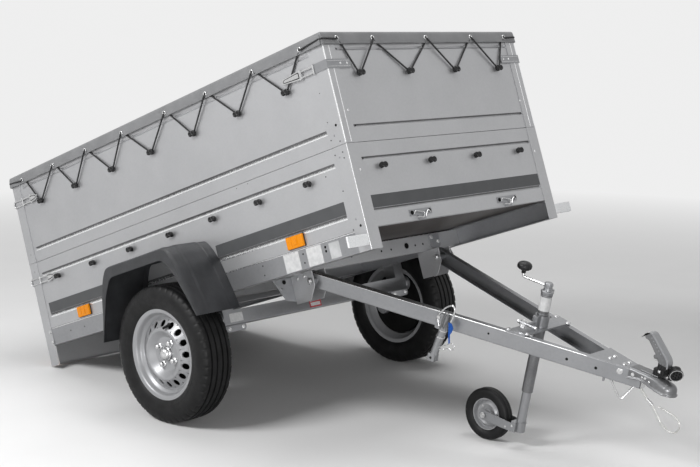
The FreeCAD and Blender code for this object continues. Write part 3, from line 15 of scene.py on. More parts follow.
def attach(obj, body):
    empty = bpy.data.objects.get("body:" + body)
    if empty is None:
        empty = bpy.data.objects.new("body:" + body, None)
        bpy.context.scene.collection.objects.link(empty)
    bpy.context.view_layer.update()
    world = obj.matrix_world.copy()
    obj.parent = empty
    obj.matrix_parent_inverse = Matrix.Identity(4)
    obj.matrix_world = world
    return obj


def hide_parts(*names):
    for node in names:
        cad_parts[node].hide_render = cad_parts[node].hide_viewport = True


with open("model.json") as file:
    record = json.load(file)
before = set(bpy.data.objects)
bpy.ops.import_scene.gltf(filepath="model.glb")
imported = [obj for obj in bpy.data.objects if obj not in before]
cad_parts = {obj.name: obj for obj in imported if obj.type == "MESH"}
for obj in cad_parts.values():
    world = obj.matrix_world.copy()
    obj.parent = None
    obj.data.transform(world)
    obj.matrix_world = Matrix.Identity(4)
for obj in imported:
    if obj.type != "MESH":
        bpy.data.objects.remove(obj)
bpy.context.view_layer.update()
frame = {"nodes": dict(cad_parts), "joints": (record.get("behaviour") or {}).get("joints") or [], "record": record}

MM = 0.001
BED_TILT = math.radians(19.6)
DRAWBAR_SLOPE = math.radians(10.8)
PIVOT_IN_BED = Vector((-490, 0, -35))

joints = {joint["name"]: joint for joint in frame["joints"]}
pivot = Vector(joints["bed_tilt"]["pos_m"])
TO_METRES = Matrix.Scale(MM, 4)
TILTED = Matrix.Translation(pivot) @ Matrix.Rotation(-BED_TILT, 4, "Y")
BED = TILTED @ TO_METRES @ Matrix.Translation(-PIVOT_IN_BED)
BAR = Matrix.Rotation(DRAWBAR_SLOPE, 4, "Y") @ TO_METRES

# Sizes of the bed, as in the solids
HALF_WIDTH = 568
SKIN_HALF = 565.5
BED_LENGTH = 2090
REAR_SKIN = -2087.5
FRONT_SKIN = -2.5
SILL_HEIGHT = 77
SEAM_HEIGHT = 385
POST_FLANGE = 60
SIDES = {"right": -1, "left": 1}
AXES = {"x": Vector((1, 0, 0)), "y": Vector((0, 1, 0)), "z": Vector((0, 0, 1))}


# Camera, as fitted to the bed's edges in the photograph

PHOTO_LENS = 70.1
SENSOR = 36
CAMERA_PLACE = Vector((3219.5, -4053.6, -290.8))
CAMERA_RIGHT = Vector((0.69338, 0.68176, -0.23339))
CAMERA_DOWN = Vector((-0.2209, -0.1072, -0.9694))
FAR_CLIP = 100


def add_object(name, data):
    """A new object in the scene."""
    thing = bpy.data.objects.new(name, data)
    bpy.context.scene.collection.objects.link(thing)
    return thing


def make_camera():
    data = bpy.data.cameras.new("camera")
    data.lens, data.sensor_width, data.sensor_fit = PHOTO_LENS, SENSOR, "HORIZONTAL"
    data.clip_end = FAR_CLIP
    camera = add_object("camera", data)
    turn = BED.to_3x3().normalized()
    right = (turn @ CAMERA_RIGHT).normalized()
    up = -(turn @ CAMERA_DOWN).normalized()
    back = right.cross(up)
    up = back.cross(right)
    heading = Matrix((right, up, back)).transposed().to_4x4()
    camera.matrix_world = Matrix.Translation(BED @ CAMERA_PLACE) @ heading
    bpy.context.scene.camera = camera


# Node helpers for materials

def fill(tree, node, inputs):
    """Gives each input a value, or links another node's output to it."""
    for name, value in inputs.items():
        if isinstance(value, bpy.types.NodeSocket):
            tree.links.new(value, node.inputs[name])
        else:
            node.inputs[name].default_value = value


def add_node(tree, kind, inputs=None, **settings):
    """A shader node with its settings and inputs."""
    node = tree.nodes.new("ShaderNode" + kind)
    for name, value in settings.items():
        setattr(node, name, value)
    fill(tree, node, inputs or {})
    return node


def new_material(name, colour, metallic, roughness, specular=0.5):
    """A material with its Principled shader, and the object coordinates in millimetres."""
    material = bpy.data.materials.new(name)
    material.use_nodes = True
    tree = material.node_tree
    shader = tree.nodes["Principled BSDF"]
    fill(tree, shader, {"Base Color": (*colour, 1), "Metallic": metallic, "Roughness": roughness,
                        "Specular IOR Level": specular})
    place = add_node(tree, "TexCoord").outputs["Object"]
    scale = add_node(tree, "VectorMath", {0: place, "Scale": 1 / MM}, operation="SCALE")
    return material, tree, shader, scale.outputs[0]


def noise(tree, place, size, detail):
    """Noise with features of a given size in millimetres."""
    return add_node(tree, "TexNoise", {"Scale": 1 / size, "Detail": detail, "Vector": place}).outputs["Fac"]


def cells(tree, place, size):
    return add_node(tree, "TexVoronoi", {"Scale": 1 / size, "Vector": place})


def pattern(tree, place, size, detail):
    """Noise of a detail, or the distances inside cells where the detail is None."""
    return noise(tree, place, size, detail) if detail else cells(tree, place, size).outputs["Distance"]


def ramp(tree, factor, low, high, low_value=0, high_value=1):
    """Maps a factor from low..high to two values."""
    inputs = {"Value": factor, "From Min": low, "From Max": high, "To Min": low_value, "To Max": high_value}
    return add_node(tree, "MapRange", inputs).outputs["Result"]


def blend_colours(tree, factor, one, other):
    mix = add_node(tree, "Mix", {"A": (*one, 1), "B": (*other, 1), "Factor": factor}, data_type="RGBA")
    return mix.outputs["Result"]


def bump(tree, height, depth, strength, **under):
    """Normal of a relief with a depth in millimetres, on top of another normal if one is given."""
    inputs = {"Distance": depth * MM, "Strength": strength, "Height": height, **under}
    return add_node(tree, "Bump", inputs).outputs["Normal"]


def surface(name, base, roughness, relief, tone=None, sheen=None, metallic=0, specular=0.5):
    """A material whose look comes from patterns, each one a (size, detail) with what it does.

    relief  depth and strength of the bump
    tone    range of the pattern, and the two colours that it blends
    sheen   how far the roughness falls and rises
    """
    material, tree, shader, place = new_material(name, base, metallic, roughness, specular)
    size, detail, depth, strength = relief
    fill(tree, shader, {"Normal": bump(tree, pattern(tree, place, size, detail), depth, strength)})
    if tone:
        size, detail, low, high, one, other = tone
        factor = ramp(tree, pattern(tree, place, size, detail), low, high)
        fill(tree, shader, {"Base Color": blend_colours(tree, factor, one, other)})
    if sheen:
        size, detail, less, more = sheen
        factor = pattern(tree, place, size, detail)
        fill(tree, shader, {"Roughness": ramp(tree, factor, 0.3, 0.7, roughness - less, roughness + more)})
    return material


def zinc(name, light, dark, roughness, spangle):
    """Hot-dip zinc: faint crystals, cloudy tone and a satin sheen."""
    material, tree, shader, place = new_material(name, light, 0.72, roughness)
    crystal = cells(tree, place, spangle).outputs["Color"]
    crystal_tone = add_node(tree, "SeparateColor", {"Color": crystal}).outputs
    clouds = ramp(tree, noise(tree, place, 160, 2), 0.35, 0.65, 0, 0.65)
    crystals = ramp(tree, crystal_tone["Red"], 0, 1, 0, 0.35)
    total = add_node(tree, "Math", {0: crystals, 1: clouds}, operation="ADD")
    fill(tree, shader, {
        "Base Color": blend_colours(tree, total.outputs[0], dark, light),
        "Roughness": ramp(tree, crystal_tone["Green"], 0, 1, roughness - 0.05, roughness + 0.06),
        "Normal": bump(tree, noise(tree, place, 0.9, 2), 0.02, 0.35)})
    return material


def plain_metal(name, colour, roughness, metallic=1.0):
    return surface(name, colour, roughness, (0.7, 2, 0.02, 0.3), None, (6, 3, 0.06, 0.08), metallic)


def moulded(name, colour, lighter, roughness, grain, depth, specular=0.5):
    """Moulded plastic or rubber with an even grain and a slightly chalky tone."""
    return surface(name, colour, roughness, (grain, None, depth, 0.7), (45, 3, 0.35, 0.7, colour, lighter),
                   (12, 2, 0.05, 0.07), 0, specular)


def lens(name, colour, deep):
    """Coloured lens with a prism pattern under a glossy skin."""
    return surface(name, colour, 0.22, (3.2, None, 0.5, 0.5), (3.2, None, 0, 1.1, colour, deep),
                   specular=0.22)


def coated_cloth():
    """Coated cloth: a fine plain weave under a satin skin, creased and a little dusty."""
    material, tree, shader, place = new_material("cover_cloth", (0.17, 0.172, 0.178), 0, 0.34, 0.55)
    weave = [add_node(tree, "TexWave", {"Scale": 0.35, "Vector": place}, bands_direction=way).outputs["Fac"]
             for way in ("X", "Y")]
    both_ways = add_node(tree, "Math", {0: weave[0], 1: weave[1]}, operation="MULTIPLY").outputs[0]
    drawn_out = add_node(tree, "VectorMath", {0: place, 1: (1, 1, 0.4)}, operation="MULTIPLY").outputs[0]
    creases = bump(tree, noise(tree, drawn_out, 70, 4), 3, 0.45)
    dust = ramp(tree, noise(tree, place, 55, 5), 0.35, 0.8)
    fill(tree, shader, {
        "Base Color": blend_colours(tree, dust, (0.158, 0.16, 0.165), (0.192, 0.194, 0.199)),
        "Roughness": ramp(tree, dust, 0, 1, 0.28, 0.44),
        "Normal": bump(tree, both_ways, 0.12, 0.25, Normal=creases)})
    return material


def strap_web():
    """Woven strap with ribs across it."""
    material, tree, shader, place = new_material("blue_web", (0.01, 0.07, 0.3), 0, 0.7, 0.2)
    wave = add_node(tree, "TexWave", {"Scale": 0.5, "Vector": place}, bands_direction="Z").outputs["Fac"]
    fill(tree, shader, {"Base Color": blend_colours(tree, wave, (0.008, 0.045, 0.22), (0.015, 0.1, 0.4)),
                        "Normal": bump(tree, wave, 0.3, 0.6)})
    return material


M = {
    "panel": zinc("panel_zinc", (0.445, 0.448, 0.458), (0.415, 0.418, 0.428), 0.42, 6),
    "frame": zinc("frame_zinc", (0.3, 0.304, 0.314), (0.262, 0.266, 0.276), 0.34, 9),
    "worn_zinc": zinc("worn_zinc", (0.2, 0.202, 0.208), (0.13, 0.132, 0.136), 0.34, 5),
    # bright metal painted on upward folds, groove flanks and beads as a highlight
    "edge": plain_metal("painted_edge_highlight", (0.92, 0.925, 0.93), 0.24),
    # dark zinc painted on the grooves' downward flanks as shade
    "grime": zinc("painted_groove_shade", (0.16, 0.16, 0.163), (0.1, 0.1, 0.102), 0.55, 8),
    "bright": plain_metal("bright_zinc", (0.6, 0.602, 0.605), 0.27),
    "silver": plain_metal("silver_paint", (0.29, 0.293, 0.302), 0.38, 0.35),
    "black": moulded("black_plastic", (0.007, 0.007, 0.0075), (0.013, 0.013, 0.014), 0.4, 1.2, 0.15, 0.3),
    "guard": moulded("guard_plastic", (0.02, 0.021, 0.023), (0.03, 0.031, 0.034), 0.42, 1.6, 0.25, 0.45),
    "tyre": moulded("tyre_rubber", (0.004, 0.004, 0.0042), (0.009, 0.009, 0.0095), 0.5, 1.1, 0.12, 0.22),
    "cloth": coated_cloth(),
    "amber": lens("amber_lens", (0.74, 0.26, 0.0), (0.58, 0.17, 0.0)),
    "red": lens("red_lens", (0.5, 0.005, 0.005), (0.25, 0.0, 0.0)),
    "white": lens("white_lens", (0.85, 0.86, 0.87), (0.6, 0.61, 0.62)),
    "board": surface("floor_board", (0.02, 0.014, 0.011), 0.5, (4, None, 0.3, 0.5),
                     (90, 5, 0.5, 0.8, (0.016, 0.011, 0.009), (0.04, 0.028, 0.022))),
    "web": strap_web(),
    "label": surface("blank_label", (0.5, 0.505, 0.51), 0.45, (5, 3, 0.08, 0.4),
                     (14, 4, 0.3, 0.75, (0.44, 0.445, 0.45), (0.58, 0.58, 0.58))),
    "stripe": surface("stripe_film", (0.06, 0.062, 0.065), 0.42, (1.5, 2, 0.02, 0.4),
                      (60, 3, 0.3, 0.7, (0.052, 0.054, 0.057), (0.062, 0.064, 0.067)), specular=0.4),
    "rope": surface("elastic_rope", (0.012, 0.012, 0.013), 0.6, (2.2, None, 0.6, 0.7),
                    (2.2, None, 0.2, 0.9, (0.03, 0.03, 0.032), (0.006, 0.006, 0.006)), specular=0.25),
    "wire": surface("steel_rope", (0.62, 0.62, 0.6), 0.35, (1.6, None, 0.5, 0.7),
                    (1.6, None, 0.1, 0.8, (0.75, 0.75, 0.73), (0.4, 0.4, 0.38)), metallic=0.85),
    # near-black for black fittings, and painted shade inside holes, slots, eyelets and behind the wheels' vents
    "dark": moulded("dark_inside", (0.005, 0.005, 0.005), (0.008, 0.008, 0.008), 0.8, 3, 0.1, 0.1),
    "worn": moulded("worn_label", (0.36, 0.365, 0.37), (0.46, 0.465, 0.47), 0.5, 4, 0.02),
    "red_label": moulded("red_label", (0.35, 0.02, 0.03), (0.4, 0.03, 0.04), 0.45, 4, 0.02),
}

# Material slot of a piece, from the first of its materials
SLOT_OF = {"frame": "galvanised_steel", "bright": "galvanised_steel", "worn_zinc": "galvanised_steel",
           "edge": "galvanised_steel", "silver": "silver_paint", "black": "black_plastic",
           "guard": "black_plastic", "rope": "black_plastic", "tyre": "tyre_rubber", "cloth": "cover_cloth",
           "amber": "amber_lens", "red": "red_lens", "white": "white_lens"}


# Drawing kit

def circle(count, radius, level=0, start=0):
    """Points round the Z axis, start in steps from the X axis."""
    angles = [math.tau * (number + start) / count for number in range(count)]
    return [Vector((radius * math.cos(angle), radius * math.sin(angle), level)) for angle in angles]


def bridge(bm, rings, loop=False, caps=False, open_rings=False):
    """Faces between neighbouring rings of vertices; a ring of one vertex is a point."""
    pairs = list(zip(rings, rings[1:]))
    if loop:
        pairs.append((rings[-1], rings[0]))
    for here, there in pairs:
        count = max(len(here), len(there))
        for i in range(count - 1 if open_rings else count):
            j = (i + 1) % count
            corners = [here[0]] if len(here) == 1 else [here[i], here[j]]
            corners += [there[0]] if len(there) == 1 else [there[j], there[i]]
            if len(corners) > 2:
                bm.faces.new(corners)
    if caps:
        for ring in (rings[0][::-1], rings[-1]):
            if len(ring) > 1:
                bm.faces.new(ring)


def face_outwards(bm):
    bmesh.ops.recalc_face_normals(bm, faces=bm.faces)


def round_edges(bm, edges, width, segments=2, **options):
    """Rounds edges off and gives the new faces."""
    return bmesh.ops.bevel(bm, geom=edges, offset=width, segments=segments, affect="EDGES", profile=0.5,
                           **options)["faces"]


class Shape:
    """The geometry of one piece, with a material for each part of it."""

    def __init__(self, name, body, place, materials):
        self.name, self.body, self.place, self.materials = name, body, place, materials
        self.bm = bmesh.new()

    def paint(self, faces, material):
        index = self.materials.index(material) if material else 0
        for face in faces:
            face.material_index = index

    def ring(self, points):
        """New vertices at a row of points."""
        return [self.bm.verts.new(point) for point in points]

    def _gather(self, other, matrix, material):
        """Adds another bmesh's geometry, moved by a matrix."""
        bmesh.ops.transform(other, matrix=matrix, verts=other.verts)
        made = {vert: self.bm.verts.new(vert.co) for vert in other.verts}
        self.paint([self.bm.faces.new([made[vert] for vert in face.verts]) for face in other.faces], material)
        other.free()

    def box(self, low, high, bevel=0, material=None, segments=2):
        """A box between two corners, with its edges rounded."""
        low, high = Vector(map(min, low, high)), Vector(map(max, low, high))
        one = bmesh.new()
        bmesh.ops.create_cube(one, size=1, matrix=Matrix.Diagonal(high - low).to_4x4())
        if bevel:
            round_edges(one, one.edges[:], bevel, segments)
        self._gather(one, Matrix.Translation((low + high) / 2), material)

    def prism(self, outline, normal, low, high, bevel=0, material=None):
        """A flat outline extruded along one axis; the outline gives the other two coordinates in order."""
        def corner(a, b, c):
            return {"x": (c, a, b), "y": (a, c, b), "z": (a, b, c)}[normal]

        one = bmesh.new()
        bottom = [one.verts.new(corner(a, b, low)) for a, b in outline]
        top = [one.verts.new(corner(a, b, high)) for a, b in outline]
        bridge(one, [bottom, top], caps=True)
        face_outwards(one)
        if bevel:
            sharp = [edge for edge in one.edges if edge.calc_face_angle(0) > math.radians(20)]
            round_edges(one, sharp, bevel)
        self._gather(one, Matrix(), material)

    def turned(self, profile, centre, axis, steps=32, material=None, closed=False):
        """A profile of (distance along the axis, radius) points turned about an axis."""
        one = bmesh.new()
        rings = []
        for along, radius in profile:
            spots = circle(steps, radius, along) if radius else [(0, 0, along)]
            rings.append([one.verts.new(spot) for spot in spots])
        bridge(one, rings, closed, not closed)
        face_outwards(one)
        self._gather(one, Matrix.Translation(centre) @ aim(axis), material)

    def rod(self, start, end, radius, material=None, steps=16, bevel=0):
        """A round bar between two points, with small chamfers."""
        start, end = Vector(start), Vector(end)
        length = (end - start).length
        profile = [(0, radius - bevel), (bevel, radius), (length - bevel, radius), (length, radius - bevel)]
        self.turned(profile if bevel else profile[1:3], start, end - start, steps, material)

    def tube(self, path, radius, material=None, steps=10, closed=False):
        """A round wire along a path."""
        one = bmesh.new()
        points = [Vector(point) for point in path]
        count = len(points)
        rings, normal = [], None
        for i, point in enumerate(points):
            before = points[i - 1] if i or closed else point
            after = points[(i + 1) % count] if i + 1 < count or closed else point
            heading = (after - before).normalized()
            if normal is None:
                normal = heading.orthogonal().normalized()
            normal = (normal - heading * normal.dot(heading)).normalized()
            other = heading.cross(normal)
            rings.append([one.verts.new(point + (normal * math.cos(math.tau * k / steps)
                                                 + other * math.sin(math.tau * k / steps)) * radius)
                          for k in range(steps)])
        bridge(one, rings, closed, not closed)
        self._gather(one, Matrix(), material)

    def bolt(self, place, out, radius, material="bright"):
        """A hexagon head with its washer, standing on a face."""
        base = radius * 0.22
        washer = [(0, radius * 1.45), (base * 0.7, radius * 1.45), (base, radius * 1.35)]
        head = [(base, radius), (base + radius * 0.5, radius), (base + radius * 0.62, radius * 0.86)]
        self.turned(washer, place, out, 20, material)
        self.turned(head, place, out, 6, material)

    def dome(self, place, out, radius, material="bright", height=0.55):
        """A rivet or cup-head bolt."""
        angles = [math.pi / 2 * i / 5 for i in range(5)]
        profile = [(radius * height * math.sin(angle), radius * math.cos(angle)) for angle in angles]
        self.turned(profile + [(radius * height, 0)], place, out, 16, material)

    def done(self, smooth=35, replaces=(), slot=None):
        """Turns the gathered geometry into a piece that rides on its body."""
        bmesh.ops.transform(self.bm, matrix=self.place, verts=self.bm.verts)
        mesh = bpy.data.meshes.new(self.name)
        self.bm.to_mesh(mesh)
        self.bm.free()
        for material in self.materials:
            mesh.materials.append(M[material])
        mesh.shade_smooth()
        mesh.set_sharp_from_angle(angle=math.radians(smooth))
        piece = add_object(self.name, mesh)
        piece.modifiers.new("flat_faces", "WEIGHTED_NORMAL").keep_sharp = True
        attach(piece, self.body)
        slot = slot or SLOT_OF.get(self.materials[0])
        if replaces:
            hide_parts(*replaces)
        return piece


def aim(axis):
    """A turn that takes Z to an axis."""
    if isinstance(axis, str):
        axis = AXES[axis]
    return Vector(axis).to_track_quat("Z", "X").to_matrix().to_4x4()


def rounded(points, radius, steps=5, closed=False):
    """A path whose corners are rounded off."""
    points = [Vector(point) for point in points]
    count = len(points)
    path = [] if closed else [points[0]]
    for i in range(count if closed else count - 2):
        before, corner, after = [points[(i + step) % count] for step in range(3)]
        back, ahead = before - corner, after - corner
        trim = min(radius, back.length * 0.49, ahead.length * 0.49)
        first, last = corner + back.normalized() * trim, corner + ahead.normalized() * trim
        for step in range(steps + 1):
            t = step / steps
            path.append(first.lerp(corner, t).lerp(corner.lerp(last, t), t))
    if not closed:
        path.append(points[-1])
    return path


# Sheet metal and other solids that keep their form: the same shape with its sharp edges rounded

BODY_OF = {node: body for body, nodes in frame["record"]["behaviour"]["bodies"].items() for node in nodes}
SLOTS = {part["node"]: part["material_slot"] for part in frame["record"]["subparts"]}


def both(*names):
    """Each name for the right and then for the left side."""
    return [name + "_" + side for name in names for side in SIDES]


# Material, radius of the folds, radius of the other edges, nodes
SOFTENED = [
    ("panel", 2, 0.7, [*both("side_wall"), "front_wall", *both("extension_side"), "extension_front",
                       "extension_rear", "tailgate", *both("front_post", "rear_post"), "rear_light_board",
                       "front_cross_member", "cross_members", *both("tilt_bracket")]),
    # the sills' darker frame zinc is partly their own tone and partly painted shade
    ("frame", 2.4, 0.8, ["tailgate_hinges", *both("sill")]),
    ("frame", 5, 1, [*both("drawbar_arm"), "nose_plate", "jockey_clamp", "jockey_fork"]),
    ("frame", 6, 3, ["axle_beam", *both("swing_arm")]),
    ("frame", 0, 0.4, ["jockey_inner_tube"]),
    ("bright", 0, 0.7, ["prop_loop", "cable_anchor", "cable_ferrule"]),
    ("board", 0, 0.6, ["floor_panel"]),
]
LONG_FOLD = 0.25
WIDE_FACE = 0.009
NARROW_FACE = 0.012
BED_UP = (BED.to_3x3() @ AXES["z"]).normalized()
RIDGED = both("side_wall", "extension_side")
GROOVED = RIDGED + ["front_wall", "extension_front", "extension_rear", "tailgate"]
TO_BED = BED.inverted()
SHARP_ANGLE = math.radians(34)
HEM_SHADE = 700


def is_fold(edge):
    """Whether an edge is a long outer fold between two wide faces."""
    if edge.calc_length() < LONG_FOLD or not edge.is_convex or edge.calc_face_angle(0) < 1:
        return False
    return min(face.calc_area() for face in edge.link_faces) / edge.calc_length() > WIDE_FACE


def flank_slope(face):
    """How far the flank of a groove below the hem looks upwards, from -1 to 1; 0 for any other face."""
    length = max(edge.calc_length() for edge in face.edges)
    if length < LONG_FOLD or not 0.3 < face.calc_area() / length / NARROW_FACE < 1:
        return 0
    if (TO_BED @ face.calc_center_median()).z > HEM_SHADE:
        return 0
    return face.normal.dot(BED_UP)


def softened():
    """Rounds the sharp edges of a copy of each solid: long folds wide, others a little; the upward faces of the
    folds get bright metal as a painted highlight.
    """
    for material, fold, radius, nodes in SOFTENED:
        materials = [material, "edge", "grime"] if fold else [material]
        for node in nodes:
            source = frame["nodes"][node]
            shape = Shape(node + "_finished", BODY_OF[node], Matrix(), materials)
            bm = shape.bm
            bm.from_mesh(source.data)
            bmesh.ops.transform(bm, matrix=source.matrix_world, verts=bm.verts)
            bmesh.ops.remove_doubles(bm, verts=bm.verts, dist=1e-6)
            bmesh.ops.dissolve_limit(bm, angle_limit=math.radians(0.6), verts=bm.verts, edges=bm.edges)
            shape.paint(bm.faces, material)
            if fold:
                folds = [edge for edge in bm.edges if edge.is_manifold and is_fold(edge)]
                fold_bevels = round_edges(bm, folds, fold * MM, 4)
                bm.normal_update()
                # painted highlight: the fold faces that look upwards get the bright metal
                if node not in GROOVED:
                    shape.paint([face for face in fold_bevels if face.normal.dot(BED_UP) > -0.1], "edge")
            # painted highlight on the side grooves' upward flanks, painted shade on the downward flanks of all
            # grooves
            if node in GROOVED:
                if node in RIDGED:
                    shape.paint([face for face in bm.faces if flank_slope(face) > 0.3], "edge")
                shape.paint([face for face in bm.faces if flank_slope(face) < -0.3], "grime")
            sharp = [edge for edge in bm.edges if edge.is_manifold and edge.calc_face_angle(0) > SHARP_ANGLE]
            round_edges(bm, sharp, radius * MM, clamp_overlap=True)
            shape.done(smooth=32, replaces=[node], slot=SLOTS[node])


# Cover: one sheet of cloth over the rim, its hem laced down outside the walls

HEM = 46
CLOTH_STEP = 11
HEM_FOOT = 744
COVER_TOP = 793
EYELETS = {"side": [-111, -377, -656, -918, -1215, -1484, -1739, -1994], "end": [-493, -302, 3, 281, 499]}
EYELET_LEVEL = {"side": 763, "end": 768}
HOOK_LEVEL = 638
LOW_HOOK_LEVEL = 293
SIDE_HOOKS = [-(225 + 275.7 * number) for number in range(7)]
END_HOOKS = [-412.5, -137.5, 137.5, 412.5]


def on_wall(wall, along, out, level):
    """A point in front of one of the four walls, from its place along the wall and how far it stands out."""
    if wall == "front":
        return Vector((out, along, level))
    if wall == "rear":
        return Vector((-BED_LENGTH - out, along, level))
    return Vector((along, SIDES[wall] * (HALF_WIDTH + out), level))


def eyelets_of(wall):
    """Places of the eyelets along a wall."""
    return EYELETS["side" if wall in SIDES else "end"]


def hem_bulge(wall, along, depth):
    """How far the hem stands out: drawn in at each eyelet, slack and rounded between them."""
    places = eyelets_of(wall)
    nearest = min(abs(along - place) for place in places)
    slack = 1 - math.exp(-(nearest / 42) ** 2)
    pucker = math.exp(-nearest / 26) * math.cos(nearest / 4.2) * 2.6
    ripple = math.sin(along / 47 + len(places)) + math.sin(along / 17.3 + depth) * 0.5
    bulge = 4.6 * math.sin(math.pi * min(depth * 0.62, 1)) + 2.1 * ripple * depth
    return 4.4 + slack * bulge + pucker * depth


def cover_point(u, v):
    """Where a point of the flat sheet lies: u runs along the bed from its middle, v across it."""
    half_length, half_width = BED_LENGTH / 2, HALF_WIDTH
    over_u, over_v = abs(u) - half_length, abs(v) - half_width
    if over_u <= 0 and over_v <= 0:
        edge = min(-over_u, -over_v)
        sag = 3.2 * (1 - math.exp(-edge / 160))
        crease = 1.2 * math.sin(u / 83 + math.sin(v / 140)) * math.sin(v / 97) * min(edge / 60, 1)
        round_off = 2.2 * math.exp(-edge / 4)
        return Vector((u - half_length, v, COVER_TOP + 1.2 - sag + crease - round_off))
    drop = max(over_u, over_v)
    depth = drop / HEM
    level = COVER_TOP - 1.5 - drop * 0.98
    turn_over = 1 - math.exp(-drop / 3)
    if over_u > 0 and over_v > 0:
        angle = math.atan2(over_v, over_u)
        out = 5 * turn_over
        return Vector((math.copysign(half_length + out * math.cos(angle), u) - half_length,
                       math.copysign(half_width + out * math.sin(angle), v), level))
    if over_v > 0:
        out = hem_bulge("right", u - half_length, depth) * turn_over
        return Vector((u - half_length, math.copysign(half_width + out, v), level))
    out = hem_bulge("front", v, depth) * turn_over
    return Vector((math.copysign(half_length + out, u) - half_length, v, level))


def spaced(half):
    """Grid lines across the sheet: even on top, closer over the edge and down the hem."""
    count = round(2 * half / CLOTH_STEP)
    inside = [-half + 2 * half * i / count for i in range(count + 1)]
    near = [1.2, 3.2, 6.5]
    down = [0.8, 2, 4, 7, 11, 16, 22, 28, 34, 40, 43.5, HEM]
    lines = inside[1:-1] + [side * (half - gap) for side in (-1, 1) for gap in near]
    lines += [side * (half + gap) for side in (-1, 1) for gap in down] + [-half, half]
    return sorted(lines)


def cover():
    shape = Shape("cover", "bed", BED, ["cloth"])
    columns = spaced(HALF_WIDTH)
    grid = [shape.ring([cover_point(u, v) for v in columns]) for u in spaced(BED_LENGTH / 2)]
    bridge(shape.bm, grid[::-1], open_rings=True)
    piece = shape.done(smooth=60, replaces=["flat_cover"])


def outwards(wall):
    """The way that a wall looks."""
    return on_wall(wall, 0, 1, 0) - on_wall(wall, 0, 0, 0)


def eyelets():
    """Metal rings pressed through the hem."""
    shape = Shape("eyelets", "bed", BED, ["bright", "dark"])
    ring = [(0, 9.6), (1.1, 9.4), (1.9, 8.3), (1.9, 7), (1.2, 5.6), (0.1, 5.2)]
    for wall in ("front", "rear", "right", "left"):
        level = EYELET_LEVEL["side" if wall in SIDES else "end"]
        for place in eyelets_of(wall):
            out = hem_bulge(wall, place, (COVER_TOP - level) / HEM)
            centre = on_wall(wall, place, out - 0.4, level)
            shape.turned(ring, centre, outwards(wall), 22, "bright", closed=True)
            # the dark disc inside each ring is painted shade in the hole
            shape.turned([(0.1, 5.3), (0.3, 5.3)], centre, outwards(wall), 14, "dark")
    shape.done(smooth=50)


# Lacing: one rope all round, in and out of the hem's eyelets and under the hooks

ROPE_RADIUS = 3.4
CORNER_LEVEL = 766


def lace_wall(wall, tokens):
    """Points of the rope along one wall, from tokens that say what it does next."""
    level = EYELET_LEVEL["side" if wall in SIDES else "end"]
    points = []
    for index, (kind, place) in enumerate(tokens):
        if kind == "hook":
            back = math.copysign(1, tokens[index - 1][1] - place)
            ahead = math.copysign(1, tokens[index + 1][1] - place)
            steps = [(back * 9.4, 5), (back * 7.2, -5.5), (0, -9.8), (ahead * 7.2, -5.5), (ahead * 9.4, 5)]
            points += [on_wall(wall, place + across, 4.6, HOOK_LEVEL + up) for across, up in steps]
        elif kind == "edge":
            points.append(on_wall(wall, place, 1.2, HEM_FOOT + 1))
        else:
            through = [on_wall(wall, place, 9.5, level - 5), on_wall(wall, place, 5.4, level),
                       on_wall(wall, place + 2, 1, level - 4)]
            points += through if kind == "in" else through[::-1]
    return points


def side_tokens():
    """From the front corner to the rear one."""
    places = EYELETS["side"]
    tokens = [("in", places[0]), ("edge", places[0] - 22)]
    for hook, place in zip(SIDE_HOOKS, places[1:]):
        tokens += [("hook", hook), ("edge", place + 30), ("out", place)]
    return tokens


def end_tokens():
    """From the right corner to the left one."""
    places, hooks = EYELETS["end"], END_HOOKS
    return [("in", places[0]), ("edge", places[0] + 22), ("hook", hooks[0]), ("in", places[1]),
            ("edge", places[1] + 27), ("hook", hooks[1]), ("edge", places[2] - 10), ("out", places[2]),
            ("hook", hooks[2]), ("edge", places[3] - 25), ("out", places[3]), ("hook", hooks[3]),
            ("edge", places[4] - 24), ("out", places[4])]


def turned_round(tokens):
    swap = {"in": "out", "out": "in"}
    return [(swap.get(kind, kind), place) for kind, place in reversed(tokens)]


def round_corner(face, forwards, side):
    """Two points of the rope round a corner, first on the end wall and then on the side."""
    return [Vector((face + forwards * 9, side * (HALF_WIDTH - 1), CORNER_LEVEL)),
            Vector((face - forwards * 4, side * (HALF_WIDTH + 10), CORNER_LEVEL))]


def lacing():
    path = lace_wall("front", end_tokens()) + round_corner(0, 1, 1)
    path += lace_wall("left", side_tokens()) + round_corner(-BED_LENGTH, -1, 1)[::-1]
    path += lace_wall("rear", turned_round(end_tokens())) + round_corner(-BED_LENGTH, -1, -1)
    path += lace_wall("right", turned_round(side_tokens())) + round_corner(0, 1, -1)[::-1]
    shape = Shape("lacing_rope", "bed", BED, ["rope"])
    shape.tube(rounded(path, 7, 3, closed=True), ROPE_RADIUS, "rope", 9, closed=True)
    shape.done(smooth=60)


# Rope hooks: moulded, with two round lobes side by side

SKIN_OUT = -2.5


def rope_hooks_at(name, body, places, replaces):
    """A piece with a hook at each (wall, along, level): flared foot, neck and two dished lobes."""
    shape = Shape(name, body, BED, ["black"])
    neck = [(0, 11), (1.4, 10.4), (3.4, 7.4), (11, 6.6), (12, 7)]
    lobe = [(10.4, 8), (11.6, 10.6), (14.4, 11.4), (17.4, 10.4), (18.6, 8), (17.4, 5.6), (15.4, 4), (15, 0)]
    for wall, along, level in places:
        shape.turned(neck, on_wall(wall, along, SKIN_OUT, level), outwards(wall), 16)
        for across in (-8.6, 8.6):
            shape.turned(lobe, on_wall(wall, along + across, SKIN_OUT, level), outwards(wall), 18)
    shape.done(smooth=42, replaces=[replaces])


